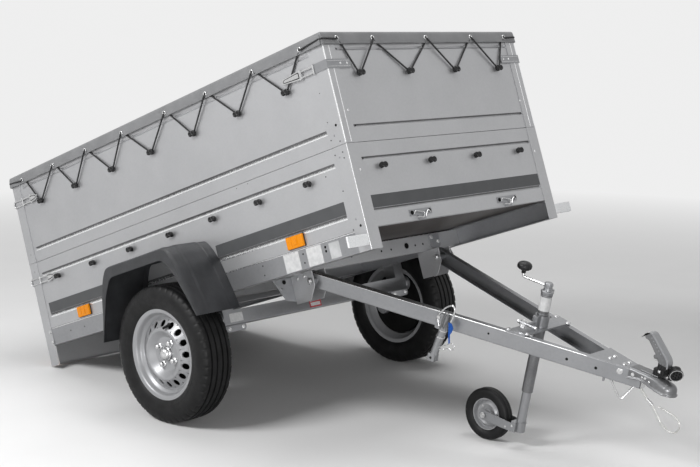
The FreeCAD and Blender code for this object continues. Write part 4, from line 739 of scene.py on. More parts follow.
def rope_hooks():
    levels = (HOOK_LEVEL, LOW_HOOK_LEVEL)
    fixed = [(wall, along, level) for wall in SIDES for level in levels for along in SIDE_HOOKS]
    ends = [("front", HOOK_LEVEL), ("front", LOW_HOOK_LEVEL), ("rear", HOOK_LEVEL)]
    fixed += [(wall, along, level) for along in END_HOOKS for wall, level in ends]
    rope_hooks_at("rope_hooks_moulded", "bed", fixed, "rope_hooks")
    moving = [("rear", along, LOW_HOOK_LEVEL) for along in END_HOOKS]
    rope_hooks_at("tailgate_hooks_moulded", "tailgate", moving, "tailgate_hooks")


# Road wheels: in the local frame at a wheel's centre Z points outwards along the axle

WHEEL_CENTRE = Vector((-1050, 688, -172))
BOLTS = 4
BOLT_CIRCLE = 50


def wheel_place(side):
    """Frame at a wheel's centre with +Z pointing outwards along the axle and X forwards."""
    turn = Matrix(((1, 0, 0), (0, 0, side), (0, 1, 0))).to_4x4()
    return BED @ Matrix.Translation(Vector((WHEEL_CENTRE.x, side * WHEEL_CENTRE.y, WHEEL_CENTRE.z))) @ turn


TREAD = 273.5
GROOVE_PLACES = [40, 14, -14, -40]
SIDEWALL = [(60, 166), (61.5, 178), (66.5, 184), (70.5, 190), (74, 200), (74.8, 203), (74.6, 205),
            (76.3, 212), (77.3, 222), (77.5, 230), (76.6, 238), (75.9, 240), (75.9, 242), (73.8, 249)]
SHOULDER = [(71, 256), (67, 263), (62.5, 268.5), (57, 271.3)]
TYRE_STEPS = 288


def crown(across):
    """Radius of the tread at a distance from its middle."""
    return TREAD - across ** 2 * 0.0006


def tyre_profile():
    """Outer line of the tyre's section as (across, radius, kind), from one bead to the other."""
    wall = [(*spot, "side") for spot in SIDEWALL] + [(*spot, "notch") for spot in SHOULDER]
    wall.append((50, 272.3, "rib"))
    tread = []
    for place in GROOVE_PLACES:
        level = crown(place)
        tread += [(place + 4.6, level, "rib"), (place + 3.4, level - 6.5, "groove"),
                  (place - 3.4, level - 6.5, "groove"), (place - 4.6, level, "rib"),
                  (place - 13, crown(place - 13), "rib")]
    tread = [spot for spot in tread if abs(spot[0]) < 48]
    return wall + tread + [(-across, radius, kind) for across, radius, kind in reversed(wall)]


def road_tyre(name, side):
    """Tyre with four grooves round the tread, cross cuts in its ribs and notched shoulders."""
    shape = Shape("road_tyre_" + name, "wheel_" + name, wheel_place(side), ["tyre"])
    profile = tyre_profile()
    rings = []
    for step in range(TYRE_STEPS):
        angle = math.tau * step / TYRE_STEPS
        ring = []
        for index, (across, radius, kind) in enumerate(profile):
            if kind == "notch" and (step + (4 if across > 0 else 0)) % 6 == 0:
                radius -= 3.4
            if kind == "rib" and (step + index * 2) % 9 == 0 and abs(across) < 52:
                radius -= 1.6
            ring.append((radius * math.cos(angle), radius * math.sin(angle), across))
        rings.append(shape.ring(ring))
    bridge(shape.bm, rings, loop=True, open_rings=True)
    face_outwards(shape.bm)
    shape.done(smooth=28, replaces=["tyre_" + name])


VENT_CIRCLE = 121
VENT_RADIUS = 12.5
VENTS = 16
DISC = [(33.5, 29), (34, 64), (36, 70), (52, 86), (57.5, 93), (58.6, 98), (56.5, 103), (42, 121), (30.5, 136),
        (28, 141), (28.5, 143.6)]
VENT_BAND = (104.5, 137.5)
RAY_STEP = 0.25


def disc_level(radius):
    """Height of the wheel disc's face at a radius."""
    for (low_level, low), (high_level, high) in zip(DISC, DISC[1:]):
        if low <= radius <= high:
            return low_level + (high_level - low_level) * (radius - low) / (high - low)
    return DISC[-1][0]


def in_vent_share(spot, middle):
    """Whether a point of the disc lies in the band of the vents and in one vent's share of it."""
    swing = (math.atan2(spot.y, spot.x) - middle + math.pi) % math.tau - math.pi
    return VENT_BAND[0] <= spot.length <= VENT_BAND[1] and abs(swing) <= math.pi / VENTS


def vented_band(shape):
    """The part of the wheel disc round its vents, each one a round hole with a rolled edge."""
    count = 24
    for number in range(VENTS):
        middle = math.tau * (number + 0.5) / VENTS
        centre = Vector((VENT_CIRCLE * math.cos(middle), VENT_CIRCLE * math.sin(middle)))
        ways = [Vector((math.cos(turn + middle), math.sin(turn + middle)))
                for turn in [math.tau * k / count for k in range(count)]]
        border = []
        for way in ways:
            reach = 0.0
            while in_vent_share(centre + way * (reach + RAY_STEP), middle):
                reach += RAY_STEP
            border.append(reach)
        rings = []
        for size, sink in ((None, 0), (VENT_RADIUS + 2.4, 0), (VENT_RADIUS + 0.7, -0.6), (VENT_RADIUS, -2.2),
                           (VENT_RADIUS, -5.5)):
            spots = [centre + way * (size or reach) for way, reach in zip(ways, border)]
            rings.append(shape.ring([(spot.x, spot.y, disc_level(spot.length) + sink) for spot in spots]))
        bridge(shape.bm, rings)


def road_rim(name, side):
    """Painted steel wheel: barrel with stepped seats, crown ridge, hub bowl and round vents."""
    shape = Shape("road_rim_" + name, "wheel_" + name, wheel_place(side), ["silver"])
    barrel = [(22, 144), (31, 146.5), (36, 153), (41, 158.5), (48, 160.5), (53, 163), (56.5, 165.5),
              (58.5, 170), (59.4, 176), (60.4, 180.6), (62.4, 182.6), (63.6, 180.8), (62.8, 177),
              (61.8, 170), (60, 165), (56, 162.4), (50, 159.4), (44, 157.6), (39.5, 153.6), (34.5, 146),
              (29, 143.2), (22, 142.6)]
    inner = [(22, 148), (-24, 148), (-34, 158), (-58, 163), (-59.4, 176), (-62.4, 182.6), (-63.6, 180.8),
             (-62, 166), (-36, 154), (-26, 144), (22, 144)]
    shape.turned(barrel, Vector(), "z", 96, "silver", closed=True)
    shape.turned(inner, Vector(), "z", 72, "silver", closed=True)
    low, high = VENT_BAND
    bowl = [spot for spot in DISC if spot[1] < low] + [(disc_level(low), low)]
    outer = [(disc_level(high), high)] + [spot for spot in DISC if spot[1] > high]
    for points in (bowl, outer):
        back = [(level - 4.5, radius) for level, radius in reversed(points)]
        shape.turned(points + back, Vector(), "z", 96, "silver", closed=True)
    vented_band(shape)
    for spot in circle(BOLTS, BOLT_CIRCLE, 33.5, 0.5):
        shape.turned([(0, 13), (1.6, 12.4), (2.4, 10.2), (1.2, 9)], spot, "z", 20, "silver")
    shape.done(smooth=38, replaces=["rim_" + name])


def road_hub(name, side):
    """Hub flange, wheel bolts, grease cap and valve."""
    materials = ["frame", "bright", "black", "dark"]
    shape = Shape("road_hub_" + name, "wheel_" + name, wheel_place(side), materials)
    flange = [(-48, 17.2), (-48, 26), (-44, 27), (20, 27), (20, 61), (29.8, 61), (29.8, 17.2)]
    # near-black disc behind the vents is painted shade inside the wheel
    vent_shade_disc = [(-38, 27), (-38, 132), (-34, 138), (12, 138), (12, 134), (-30, 128), (-30, 27)]
    shape.turned(flange, Vector(), "z", 48, "frame", closed=True)
    shape.turned(vent_shade_disc, Vector(), "z", 64, "dark", closed=True)
    cap = [(29.8, 28), (41, 28), (42.5, 26.6), (43.5, 25.4), (46, 24.6), (52, 22.6), (57, 18), (59.6, 11),
           (60.4, 0)]
    shape.turned(cap, Vector(), "z", 40, "bright")
    for spot in circle(BOLTS, BOLT_CIRCLE, 34.5, 0.5):
        shape.turned([(0, 14), (2, 14), (5, 11), (5, 9)], spot, "z", 20, "bright")
        shape.turned([(4, 10.6), (15, 10.6), (17, 8.6)], spot, "z", 6, "bright")
        shape.dome(spot + Vector((0, 0, 16)), "z", 6.4, "bright", 0.5)
    turn = math.radians(62)
    valve = Vector((VENT_CIRCLE * math.cos(turn), VENT_CIRCLE * math.sin(turn), disc_level(VENT_CIRCLE) - 6))
    lean = Vector((-math.cos(turn) * 0.35, -math.sin(turn) * 0.35, 1))
    stem = [(0, 8.5), (4, 8.2), (8, 5.4), (22, 4.6), (22, 5.4), (33, 5.2), (35, 4)]
    shape.turned(stem, valve, lean, 14, "black")
    shape.done(smooth=35, replaces=["hub_" + name])


# Fittings of the bed

BEAM_FACE = -876
GROOVE_LEVELS = [137, 325, 445]
GROOVE_HALF = 6.5
GROOVE_ENDS = (-2008, -82)
SILL_ENDS = (-2028, -62)
BEAD_HEIGHTS = (SEAM_HEIGHT + 4, 742)


def highlight_beads():
    """Raised beads under the side grooves, on the sills' top edges and at the extension's front corners, in bright
    metal as a painted highlight.
    """
    shape = Shape("highlight_beads", "bed", BED, ["edge"])
    rear, front = GROOVE_ENDS
    sill_rear, sill_front = SILL_ENDS
    foot, head = BEAD_HEIGHTS
    for side in SIDES.values():
        inside = side * (SKIN_HALF - 0.5)
        for level in GROOVE_LEVELS:
            shape.box((rear, inside, level - GROOVE_HALF - 5.4),
                      (front, side * (SKIN_HALF + 0.9), level - GROOVE_HALF - 0.4), 0.8)
        shape.box((sill_rear, inside, SILL_HEIGHT - 2.6),
                  (sill_front, side * (SKIN_HALF + 0.5), SILL_HEIGHT - 0.4), 0.4)
        shape.rod((-2.4, side * 565.6, foot), (-2.4, side * 565.6, head), 2.8, "edge", 12, 1)
        shape.box((-0.4, side * 536.5, foot), (0.6, side * 539.5, head), 0.4)
    shape.done(smooth=50)


def stripes_and_labels():
    """Bare film stripes above the lower groove, bare labels on sill and beam, and the beam's end plates."""
    film = Shape("stripe_films", "bed", BED, ["stripe"])
    for side in SIDES.values():
        for front, rear in ((-81, -806), (-1294, -2008)):
            film.box((rear, side * (SKIN_HALF - 0.1), 144.2), (front, side * (SKIN_HALF + 0.35), 191))
    film.box((FRONT_SKIN - 0.1, -506, 144.2), (FRONT_SKIN + 0.35, 506, 191))
    film.done()
    paper = Shape("bare_labels", "bed", BED, ["label"])
    for rear, front, low, high in ((-447, -364, 4, 73), (-322, -243, 4, 72)):
        paper.box((rear, -SKIN_HALF + 0.1, low), (front, -SKIN_HALF - 0.35, high))
    paper.box((BEAM_FACE - 0.1, -517, -112), (BEAM_FACE + 0.3, -448, -77))
    paper.done()
    sticker = Shape("bare_red_label", "bed", BED, ["red_label", "label"])
    sticker.box((BEAM_FACE - 0.1, -72, -118), (BEAM_FACE + 0.3, -4, -85))
    sticker.box((BEAM_FACE, -66, -112), (BEAM_FACE + 0.5, -10, -98), 0, "label")
    sticker.done()
    plate = Shape("beam_end_plate", "bed", BED, ["frame", "bright"])
    outline = [(548, -122), (440, -122), (440, -140), (448, -150), (538, -150), (548, -140)]
    for side in SIDES.values():
        mirrored = [(side * across, level) for across, level in outline]
        plate.prism(mirrored, "x", BEAM_FACE - 44, BEAM_FACE + 1, 2.4, "frame")
        for across in (530, 458):
            plate.bolt((BEAM_FACE + 1, side * across, -136), (1, 0, 0), 5.6, "bright")
    plate.done()
    faint = Shape("worn_label", "bed", BED, ["worn"])
    faint.box((-203, -SKIN_HALF + 0.1, 8), (-150, -SKIN_HALF - 0.3, 66))
    faint.done()


DARK_SPOTS = [(-28, 458, 5), (-70, 413, 2.6), (-26, 399, 2.6), (-26, 359, 2.6), (-26, 338, 2.6),
              (-68, 358, 2.6), (-67, 478, 2), (-137, 297, 2.6), (-71, 228, 2.6), (-71, 587, 2),
              (-25, 92, 5), (-66, 85, 2.6), (-545, 375, 1.8), (-611, 373, 1.8)]
SILL_SPOTS = [(-567, 59, 3), (-568, 23, 3), (-341, 57, 3.4), (-342, 24, 3.4), (-222, 57, 5), (-222, 42, 5),
              (-1885, 43, 3), (-1776, 42, 3)]
FRONT_RIVETS = [(-527, 285), (-516, 503), (512, 498), (524, 283)]
FRONT_DOTS = [(-496, 446), (-499, 325), (-500, 730), (498, 446), (498, 325)]


def bed_fasteners():
    """Rivets, bolt heads and bolt holes of the bed."""
    bright = Shape("bed_rivets", "bed", BED, ["bright", "frame"])
    dark = Shape("bed_dark_screws", "bed", BED, ["dark"])
    for side in SIDES.values():
        out = (0, side, 0)
        for spots, on_post in ((DARK_SPOTS, True), (SILL_SPOTS, False)):
            for along, level, radius in spots:
                face = HALF_WIDTH if on_post and along > -POST_FLANGE else SKIN_HALF
                # dark domes stand for dark screw heads, and as painted shade in bolt holes
                dark.dome((along, side * face, level), out, radius, "dark", 0.35)
        rear = 31 - BED_LENGTH
        for along, level in ((-40, 118), (-46, 345), (-46, 425), (rear, 345), (rear, 425)):
            bright.dome((along, side * HALF_WIDTH, level), out, 4, "frame", 0.35)
        for along, level in ((-2042, 61), (-2036, 14)):
            bright.bolt((along, side * HALF_WIDTH, level), out, 6.5)
    for across, level in FRONT_RIVETS:
        bright.dome((0, across, level), (1, 0, 0), 4.6, "bright", 0.45)
        bright.dome((-BED_LENGTH, across * 556 / 527, level + 30), (-1, 0, 0), 4.2, "bright", 0.4)
    for across, level in FRONT_DOTS:
        dark.dome((FRONT_SKIN, across, level), (1, 0, 0), 3, "dark", 0.4)
    bright.done(smooth=50)
    dark.done(smooth=50)


def front_clasps():
    """Spring clasps along the foot of the front wall: plate, two screws and a bent wire."""
    shape = Shape("front_clasps", "bed", BED, ["bright", "dark", "frame"])
    for middle in (-263, 263):
        shape.box((FRONT_SKIN, middle - 62, 95), (0.5, middle + 62, 119), 0.9, "frame")
        shape.box((FRONT_SKIN, middle - 20, 78), (3, middle + 20, 97), 0.9, "frame")
        for across in (-50, 50):
            shape.bolt((0.5, middle + across, 107), (1, 0, 0), 5.5, "dark")
        wires = [[(5, -46, 100), (7, -38, 112), (7, 12, 103), (9, 2, 84), (7, -34, 88)],
                 [(5, 46, 100), (7, 38, 112), (7, 20, 96), (10, 12, 86)]]
        for wire in wires:
            path = [(out, middle + across, level) for out, across, level in wire]
            shape.tube(rounded(path, 7, 4), 2, "bright", 8)
    shape.done(smooth=40)


def draw_latch(shape, side, corner, inward, length, bottom, height):
    """Over-centre latch on a side panel: base plate, lever with folded edges, pivots and pull plate."""
    top = bottom + height
    start, middle, end = [corner + inward * along for along in (67, 137, length)]
    base = sorted((middle - inward * 8, end - inward * 14))
    shape.box((base[0], side * SKIN_HALF, bottom + 7), (base[1], side * (SKIN_HALF + 2), top - 7), 0.6,
              "bright")
    back, front = side * 568.6, side * 577
    lever = [(middle - inward * 9, bottom + 1), (middle + inward * 8, bottom + 1),
             (end - inward * 8, bottom + 8), (end, bottom + 13), (end, top - 13),
             (end - inward * 8, top - 8), (middle + inward * 8, top - 1), (middle - inward * 9, top - 1)]
    centre = (middle + end) / 2
    slot = [(centre + (along - centre) * 0.84, level * 0.66 + (bottom + top) * 0.17)
            for along, level in lever]
    shape.prism(lever, "y", back, front, 1.6, "bright")
    # the dark plate in the lever's middle is painted shade in the gap between its folds
    shape.prism(slot, "y", front - side, front + side * 0.15, 0, "dark")
    slot = [(centre + (along - centre) * 0.9, level * 0.7 + (bottom + top) * 0.15) for along, level in slot]
    shape.prism(slot, "y", front, front + side * 1.4, 0.6, "bright")
    tip = end - inward * 2
    shape.rod((tip, side * 571, bottom + 11), (tip, side * 571, top - 11), 2.6, "bright", 12, 0.5)
    for along, out in ((middle, 574), (start, 573)):
        shape.rod((along, side * out, bottom - 1), (along, side * out, top + 1), 3.4, "bright", 14, 0.6)
    for low in (bottom + 4, top - 10):
        shape.box((start, side * 571.5, low), (middle, side * 574, low + 6), 0.7, "bright")


def corner_latches():
    shape = Shape("draw_latches", "bed", BED, ["bright", "frame", "dark"])
    rear = -BED_LENGTH
    hold, tip = rear + 73, rear - 6
    for side in SIDES.values():
        draw_latch(shape, side, 0, -1, 232, 657, 36)
        plan = [(-70, 568), (-70, 570.6), (2.4, 570.6), (2.4, 448), (0, 448), (0, 568)]
        shape.prism([(along, side * out) for along, out in plan], "z", 658, 692, 0.7, "frame")
        for level in (664, 684.5):
            shape.box((2, side * 452, level), (3.2, side * 566, level + 1.8), 0.5, "bright")
        for across in (466, 500):
            shape.dome((2.4, side * across, 675), (1, 0, 0), 4.4, "bright", 0.45)
        for bottom in (650, 285):
            draw_latch(shape, side, rear, 1, 186, bottom - 3, 37)
            corners = ((hold, 3), (tip, 3), (tip, 28), (hold, 28))
            wire = [(along, side * 571, bottom + up) for along, up in corners]
            shape.tube(rounded(wire, 8, 5), 2.9, "bright", 10)
            shape.box((rear - 3, side * 548, bottom - 2), (rear, side * 570, bottom + 33), 0.8, "frame")
            shape.box((rear - 9, side * 556, bottom + 4), (rear - 2, side * 559, bottom + 27), 0.8, "frame")
    shape.done(smooth=40, replaces=["corner_latches"])


def bed_lamps():
    """Side markers, front position lamps and rear lamp units."""
    amber = Shape("marker_units", "bed", BED, ["amber", "black"])
    white = Shape("front_lamp_units", "bed", BED, ["white", "frame", "black"])
    red = Shape("rear_lamp_units", "bed", BED, ["red", "amber", "white", "black"])
    for side in SIDES.values():
        for front in (-312, -1699):
            rear, face = front - 93, side * SKIN_HALF
            amber.box((rear, face, 83), (front, face + side * 2.6, 133), 1, "black")
            amber.box((rear + 1.6, face + side * 2, 84.6), (front - 1.6, face + side * 12.6, 131.4), 3.4,
                      "amber", 3)
            for along in (front - 31, front - 62):
                amber.box((along - 0.9, face + side * 11, 87), (along + 0.9, face + side * 13.6, 129), 0.5,
                          "amber")
            middle = front - 46.5
            amber.rod((middle, face + side * 12, 108), (middle, face + side * 13.8, 108), 13, "amber", 28,
                      0.6)
        white.box((-15, side * 569, 17.4), (-7, side * 675, 58.2), 1.6, "frame")
        white.box((-9, side * 568.8, 17.6), (0, side * 675, 58), 2.8, "white", 3)
        white.box((-36, side * 560, 24), (-20, side * 592, 52), 1.5, "frame")
        white.dome((-7, side * 622, 38), (1, 0, 0), 4, "black", 0.3)
        red.box((REAR_SKIN, side * 508, -3), (REAR_SKIN - 10, side * 308, -83), 2.4, "black")
        for inner, outer, material in ((438, 506, "amber"), (374, 437, "red"), (310, 373, "red")):
            red.box((REAR_SKIN - 8, side * inner, -5), (REAR_SKIN - 31, side * outer, -81), 5, material, 3)
        for across in (326, 490):
            red.rod((REAR_SKIN - 30, side * across, -43), (REAR_SKIN - 32, side * across, -43), 4, "black",
                    14, 0.6)
        red.box((REAR_SKIN - 30, side * 380, -36), (REAR_SKIN - 31.8, side * 431, -50), 0.5, "white")
    amber.done(smooth=40, replaces=["side_markers"])
    white.done(smooth=40, replaces=["front_lamps"])
    red.done(smooth=40, replaces=["rear_lamps"])


# Mudguards: drawn by rays from the middle of the wheel arch

GUARD_MIDDLE = Vector((-1050, -66))
GUARD_OUTLINE = [(308, -66), (292, 6), (255, 133), (225, 190), (195, 227)]
SKIRT_OUTLINE = [(304.5, -66), (225, 112), (172, 177)]
GUARD_STEPS = 128
FULL_BAND = 20


def arch_line(half, radius):
    """Both halves of an arch with its corners rounded off."""
    line = [Vector((-ahead, level - GUARD_MIDDLE.y, 0)) for ahead, level in half]
    line += [Vector((ahead, level - GUARD_MIDDLE.y, 0)) for ahead, level in reversed(half)]
    return rounded(line, radius, 6)


def arch_reach(line, angle):
    """Distance from the arch's middle to its line at an angle."""
    way = Vector((math.cos(angle), math.sin(angle)))
    for one, other in zip(line, line[1:]):
        run = other.xy - one.xy
        bottom = way.x * run.y - way.y * run.x
        if abs(bottom) < 1e-9:
            continue
        reach = (one.x * run.y - one.y * run.x) / bottom
        share = (one.x * way.y - one.y * way.x) / bottom
        if reach > 0 and -1e-6 <= share <= 1 + 1e-6:
            return reach
    return line[0].length


def mudguard(name, side):
    """Moulded arch with a rounded outer edge, a skirt band outside and a flange against the panel."""
    shape = Shape("moulded_guard_" + name, "bed", BED, ["guard", "bright"])
    outer, skirt = arch_line(GUARD_OUTLINE, 20), arch_line(SKIRT_OUTLINE, 26)
    rings = []
    for step in range(GUARD_STEPS + 1):
        angle = math.pi * step / GUARD_STEPS
        edge, foot = arch_reach(outer, angle), arch_reach(skirt, angle)
        band = edge - foot
        wall = min(1, band / FULL_BAND)
        rise = 3.2 * wall
        section = [(565.6, 30), (565.6, 1.5 + rise), (567.2, rise), (604, rise), (608, rise * 0.8),
                   (615, rise * 0.2), (620, 0), (716, 0), (722, rise * 0.2), (729, rise * 0.8), (733, rise),
                   (764, rise), (774, 1.8 * wall + rise), (781.5, 5 * wall + rise * 0.8),
                   (785.8, 10.5 * wall), (787.4, 18 * wall), (787.4, band - 5 * wall),
                   (786.4, band - 1.2 * wall), (784.4, band), (783, band - 2 * wall), (783, 19 * wall + 1),
                   (780, 12 * wall + 2), (774, 6 * wall + 3.2), (766, 4), (570, 4), (569.6, 5), (569.6, 30)]
        way = Vector((math.cos(angle), math.sin(angle)))
        spots = [(GUARD_MIDDLE + way * (edge - depth), side * out) for out, depth in section]
        rings.append(shape.ring([(spot.x, across, spot.y) for spot, across in spots]))
    bridge(shape.bm, rings, caps=True)
    face_outwards(shape.bm)
    for ahead in (-235, -90, 90, 235):
        level = 205 if abs(ahead) < 100 else 105
        shape.dome((GUARD_MIDDLE.x + ahead, side * 569.6, level), (0, side, 0), 7, "bright", 0.4)
    shape.done(smooth=42, replaces=["mudguard_" + name])


# Fittings of the drawbar

ARM_TAPER = 403 / 1325
ARM_OUT = Vector((ARM_TAPER, -1, 0)).normalized()
ARM_START = -34
MEMBER_FACE = -530
FLANGE_FACE = -588.5


def arm_half(along):
    """How far out from the middle the outer face of an arm lies."""
    return ARM_TAPER * (ARM_START - along)


def arm_out(side):
    """The way that the outer face of an arm looks."""
    return Vector((ARM_OUT.x, -side * ARM_OUT.y, 0))


def on_arm(along, level, out=0.0, side=-1):
    """A point on the outer face of an arm's web."""
    return Vector((along, side * arm_half(along), level)) + arm_out(side) * out


def drawbar_fasteners():
    bright = Shape("drawbar_bolts", "drawbar", BAR, ["bright", "frame"])
    dark = Shape("drawbar_holes", "drawbar", BAR, ["dark"])
    for side in SIDES.values():
        out = arm_out(side)
        for along, level in ((-170, 12), (-124, 17)):
            bright.bolt(on_arm(along, level, 4.2 if along > -139 else 0.2, side), out, 7.5)
        # flat dark discs are painted shade in the arms' holes
        for along in (-353, -250):
            dark.dome(on_arm(along, -3, 0, side), out, 5.5, "dark", 0.12)
        dark.dome(on_arm(-640, 2, 0, side), out, 4, "dark", 0.12)
        for along, level in ((-86, 20), (-56, 14)):
            bright.dome((along, side * 34.2, level), (0, side, 0), 4.2, "bright", 0.45)
        for along in (-513, -581):
            bright.bolt((along, side * (arm_half(along) - 17), 36), (0, 0, 1), 6.5)
    bright.rod(on_arm(-219, -28, -12), on_arm(-219, -44, -12), 4, "frame", 12, 0.8)
    for along in (-230, -170):
        for across in (-16, 16):
            bright.bolt((along, across, 33), (0, 0, 1), 6)
    bright.done(smooth=40)
    dark.done(smooth=50)


def tilt_bolts():
    """Pivot and carriage bolts through the brackets' cheeks, and the flange behind them under the sill."""
    shape = Shape("tilt_bracket_bolts", "bed", BED, ["frame", "bright", "dark"])
    for side in SIDES.values():
        for face, out in ((421, 1), (339, -1)):
            shape.bolt((-490, side * face, -35), (0, side * out, 0), 9, "bright")
        for along, level in ((-554, -13), (-516, -11)):
            shape.dome((along, side * 416.8, level), (0, side, 0), 7, "bright", 0.5)
        flange = [(416.5, 1), (515, 1), (468, -82), (452, -90), (416.5, -96)]
        mirrored = [(side * across, level) for across, level in flange]
        shape.prism(mirrored, "x", FLANGE_FACE - 3.5, FLANGE_FACE, 1.2, "frame")
        shape.dome((FLANGE_FACE, side * 458, -14), (1, 0, 0), 9, "dark", 0.6)
        shape.dome((FLANGE_FACE, side * 476, -40), (1, 0, 0), 6, "frame", 0.4)
    shape.done(smooth=40)
    face = Shape("cross_member_fittings", "bed", BED, ["frame", "bright", "dark"])
    grommet = [(0, 12), (1.6, 12), (2.4, 10.6), (2.4, 8), (0.6, 7.2)]
    face.turned(grommet, (MEMBER_FACE, 218, 38), "x", 24, "dark")
    # flat dark discs are painted shade in the member's holes
    for across in (-273, 273, -323, 323, -120, 60, 120):
        face.dome((MEMBER_FACE, across, 34), (1, 0, 0), 4.6, "dark", 0.12)
    for across, level in ((421, 38), (379, 60), (-379, 60), (-421, 38)):
        face.bolt((MEMBER_FACE, across, level), (1, 0, 0), 7)
    outline = [(-34, 68), (34, 68), (34, 20), (20, 8), (-20, 8), (-34, 20)]
    front = MEMBER_FACE + 3.2
    for side in (1, -1):
        middle = side * 400
        plate = [(middle + across, level) for across, level in outline]
        face.prism(plate, "x", MEMBER_FACE, front, 1, "frame")
        face.bolt((front, middle + side * 20, 36), (1, 0, 0), 6.6)
        face.bolt((front, middle - side * 18, 56), (1, 0, 0), 6.6)
    face.done(smooth=40)


HEAD_WALL = 3.6
SOCKET = 25.4
SHOULDER_LEVEL = 5


def coupling_section(along, half, top, foot, fullness):
    """Outline across the coupling head: lip, wall, rounded back, and the same inside."""
    def arc(width, height, steps):
        points = []
        for step in range(steps + 1):
            turn = math.pi * step / steps
            across, up = math.cos(turn), math.sin(turn)
            points.append((math.copysign(abs(across) ** (2 / fullness), across) * width,
                           SHOULDER_LEVEL + (height - SHOULDER_LEVEL) * abs(up) ** (2 / fullness)))
        return points

    outer = [(half + 3.6, foot), (half + 4, foot + 1.6), (half + 3.4, foot + 4), (half + 1.2, foot + 5.6),
             (half, foot + 8)]
    outer += arc(half, top, 22)
    outer += [(-across, level) for across, level in reversed(outer[:5])]
    inner = arc(half - HEAD_WALL, top - HEAD_WALL, 22)
    inner = [(-across, level) for across, level in inner]
    loop = outer + [(HEAD_WALL - half, foot + 1)] + inner + [(half - HEAD_WALL, foot + 1)]
    return [Vector((along, across, level)) for across, level in loop]


STATIONS = [(-139, 36.2, 38, -3, 6), (-126, 36, 38, 0, 6), (-110, 35.6, 38, 3.4, 5.6),
            (-96, 35.4, 38, 5.6, 5.2), (-84, 35, 38, 6, 5), (-72, 34.7, 38, 3.4, 4.6),
            (-58, 34.3, 38, -1, 4.2), (-44, 33.8, 38, -5, 3.6), (-31, 33.4, 37, -8, 3.1),
            (-20, 33.2, 35, -9.6, 2.6), (-10, 33, 32.4, -11, 2.2), (0, 33, 30, -12, 2)]


def coupling_head():
    shape = Shape("coupling_head", "drawbar", BAR, ["worn_zinc", "bright"])
    rings = [shape.ring(coupling_section(*station)) for station in STATIONS]
    bridge(shape.bm, rings, caps=True)
    face_outwards(shape.bm)
    dome = [(-12, 26), (-12, 36.6), (-10.4, 37), (-8, 36.4), (-6.4, 34.2), (-4, 33.2), (5, 33)]
    turns = [math.pi / 2 * step / 9 for step in range(1, 10)]
    dome += [(5 + 25 * math.sin(turn), 33 * math.cos(turn)) for turn in turns[:-1]] + [(30, 0)]
    dome += [(SOCKET, 0)] + [(SOCKET * math.sin(turn), SOCKET * math.cos(turn)) for turn in turns[-2::-1]]
    dome.append((0, SOCKET))
    shape.turned(dome, (0, 0, 0), "z", 48, "worn_zinc", closed=True)
    shape.box((-104, -20, 36), (-34, 20, 41), 2.4, "worn_zinc")
    shape.rod((-72, -39, 22), (-72, 39, 22), 5, "bright", 14, 1)
    shape.done(smooth=44, replaces=["coupler"])


HANDLE_SIDE = [(-47, 84), (-9, 80), (-10, 98), (-20, 113), (-90, 178), (-106, 178), (-117, 163), (-116, 152),
               (-102, 151), (-60, 106)]
HANDLE_BACK = [(-8, 78), (-9.5, 98), (-19.5, 113), (-89.5, 178.6), (-106, 178.6), (-117, 163)]


def raised_handle():
    """Pressed lever with a folded back, its mechanism in a ribbed black housing, and the catch."""
    shape = Shape("raised_handle", "drawbar", BAR, ["worn_zinc", "frame", "black", "bright"])
    outline = rounded([(x, z, 0) for x, z in HANDLE_SIDE], 8, 4, closed=True)
    outline = [(point.x, point.y) for point in outline]
    for low in (-16, 12.4):
        shape.prism(outline, "y", low, low + 3.6, 0.8, "worn_zinc")
    outer = rounded([(x, z, 0) for x, z in HANDLE_BACK], 9, 5)
    inner = [point + Vector((-6, -5, 0)) for point in outer]
    band = [(point.x, point.y) for point in outer] + [(point.x, point.y) for point in reversed(inner)]
    shape.prism(band, "y", -17, 17, 1.6, "frame")
    for step in range(6):
        spot = Vector((-42 - 9 * step, 0, 128 + 8.4 * step))
        shape.rod(spot + Vector((-4, -17, -9)), spot + Vector((-4, 17, -9)), 2.4, "frame", 10, 0.6)
    shape.box((-60, -18, 38.6), (-16, 18, 66), 4, "black")
    shape.box((-50, -14, 60), (-14, 14, 96), 5, "black")
    for step in range(5):
        ahead = -56 + 9 * step
        shape.box((ahead, -20, 42), (ahead + 3.6, 20, 64), 1.4, "black")
    for step in range(3):
        shape.box((-48 + 11 * step, -16, 68), (-44 + 11 * step, 16, 90), 1.4, "black")
    for side in SIDES.values():
        shape.dome((-36, side * 18, 58), (0, side, 0), 6, "bright", 0.4)
    shape.rod((-66, -11, 101), (-66, 11, 101), 7.6, "worn_zinc", 18, 1.4)
    shape.rod((-60, -13, 92), (-60, 13, 92), 4, "bright", 14, 1)
    shape.done(smooth=40, replaces=["coupler_handle"])


PLUG_CENTRE = Vector((27.2, -12, 66))


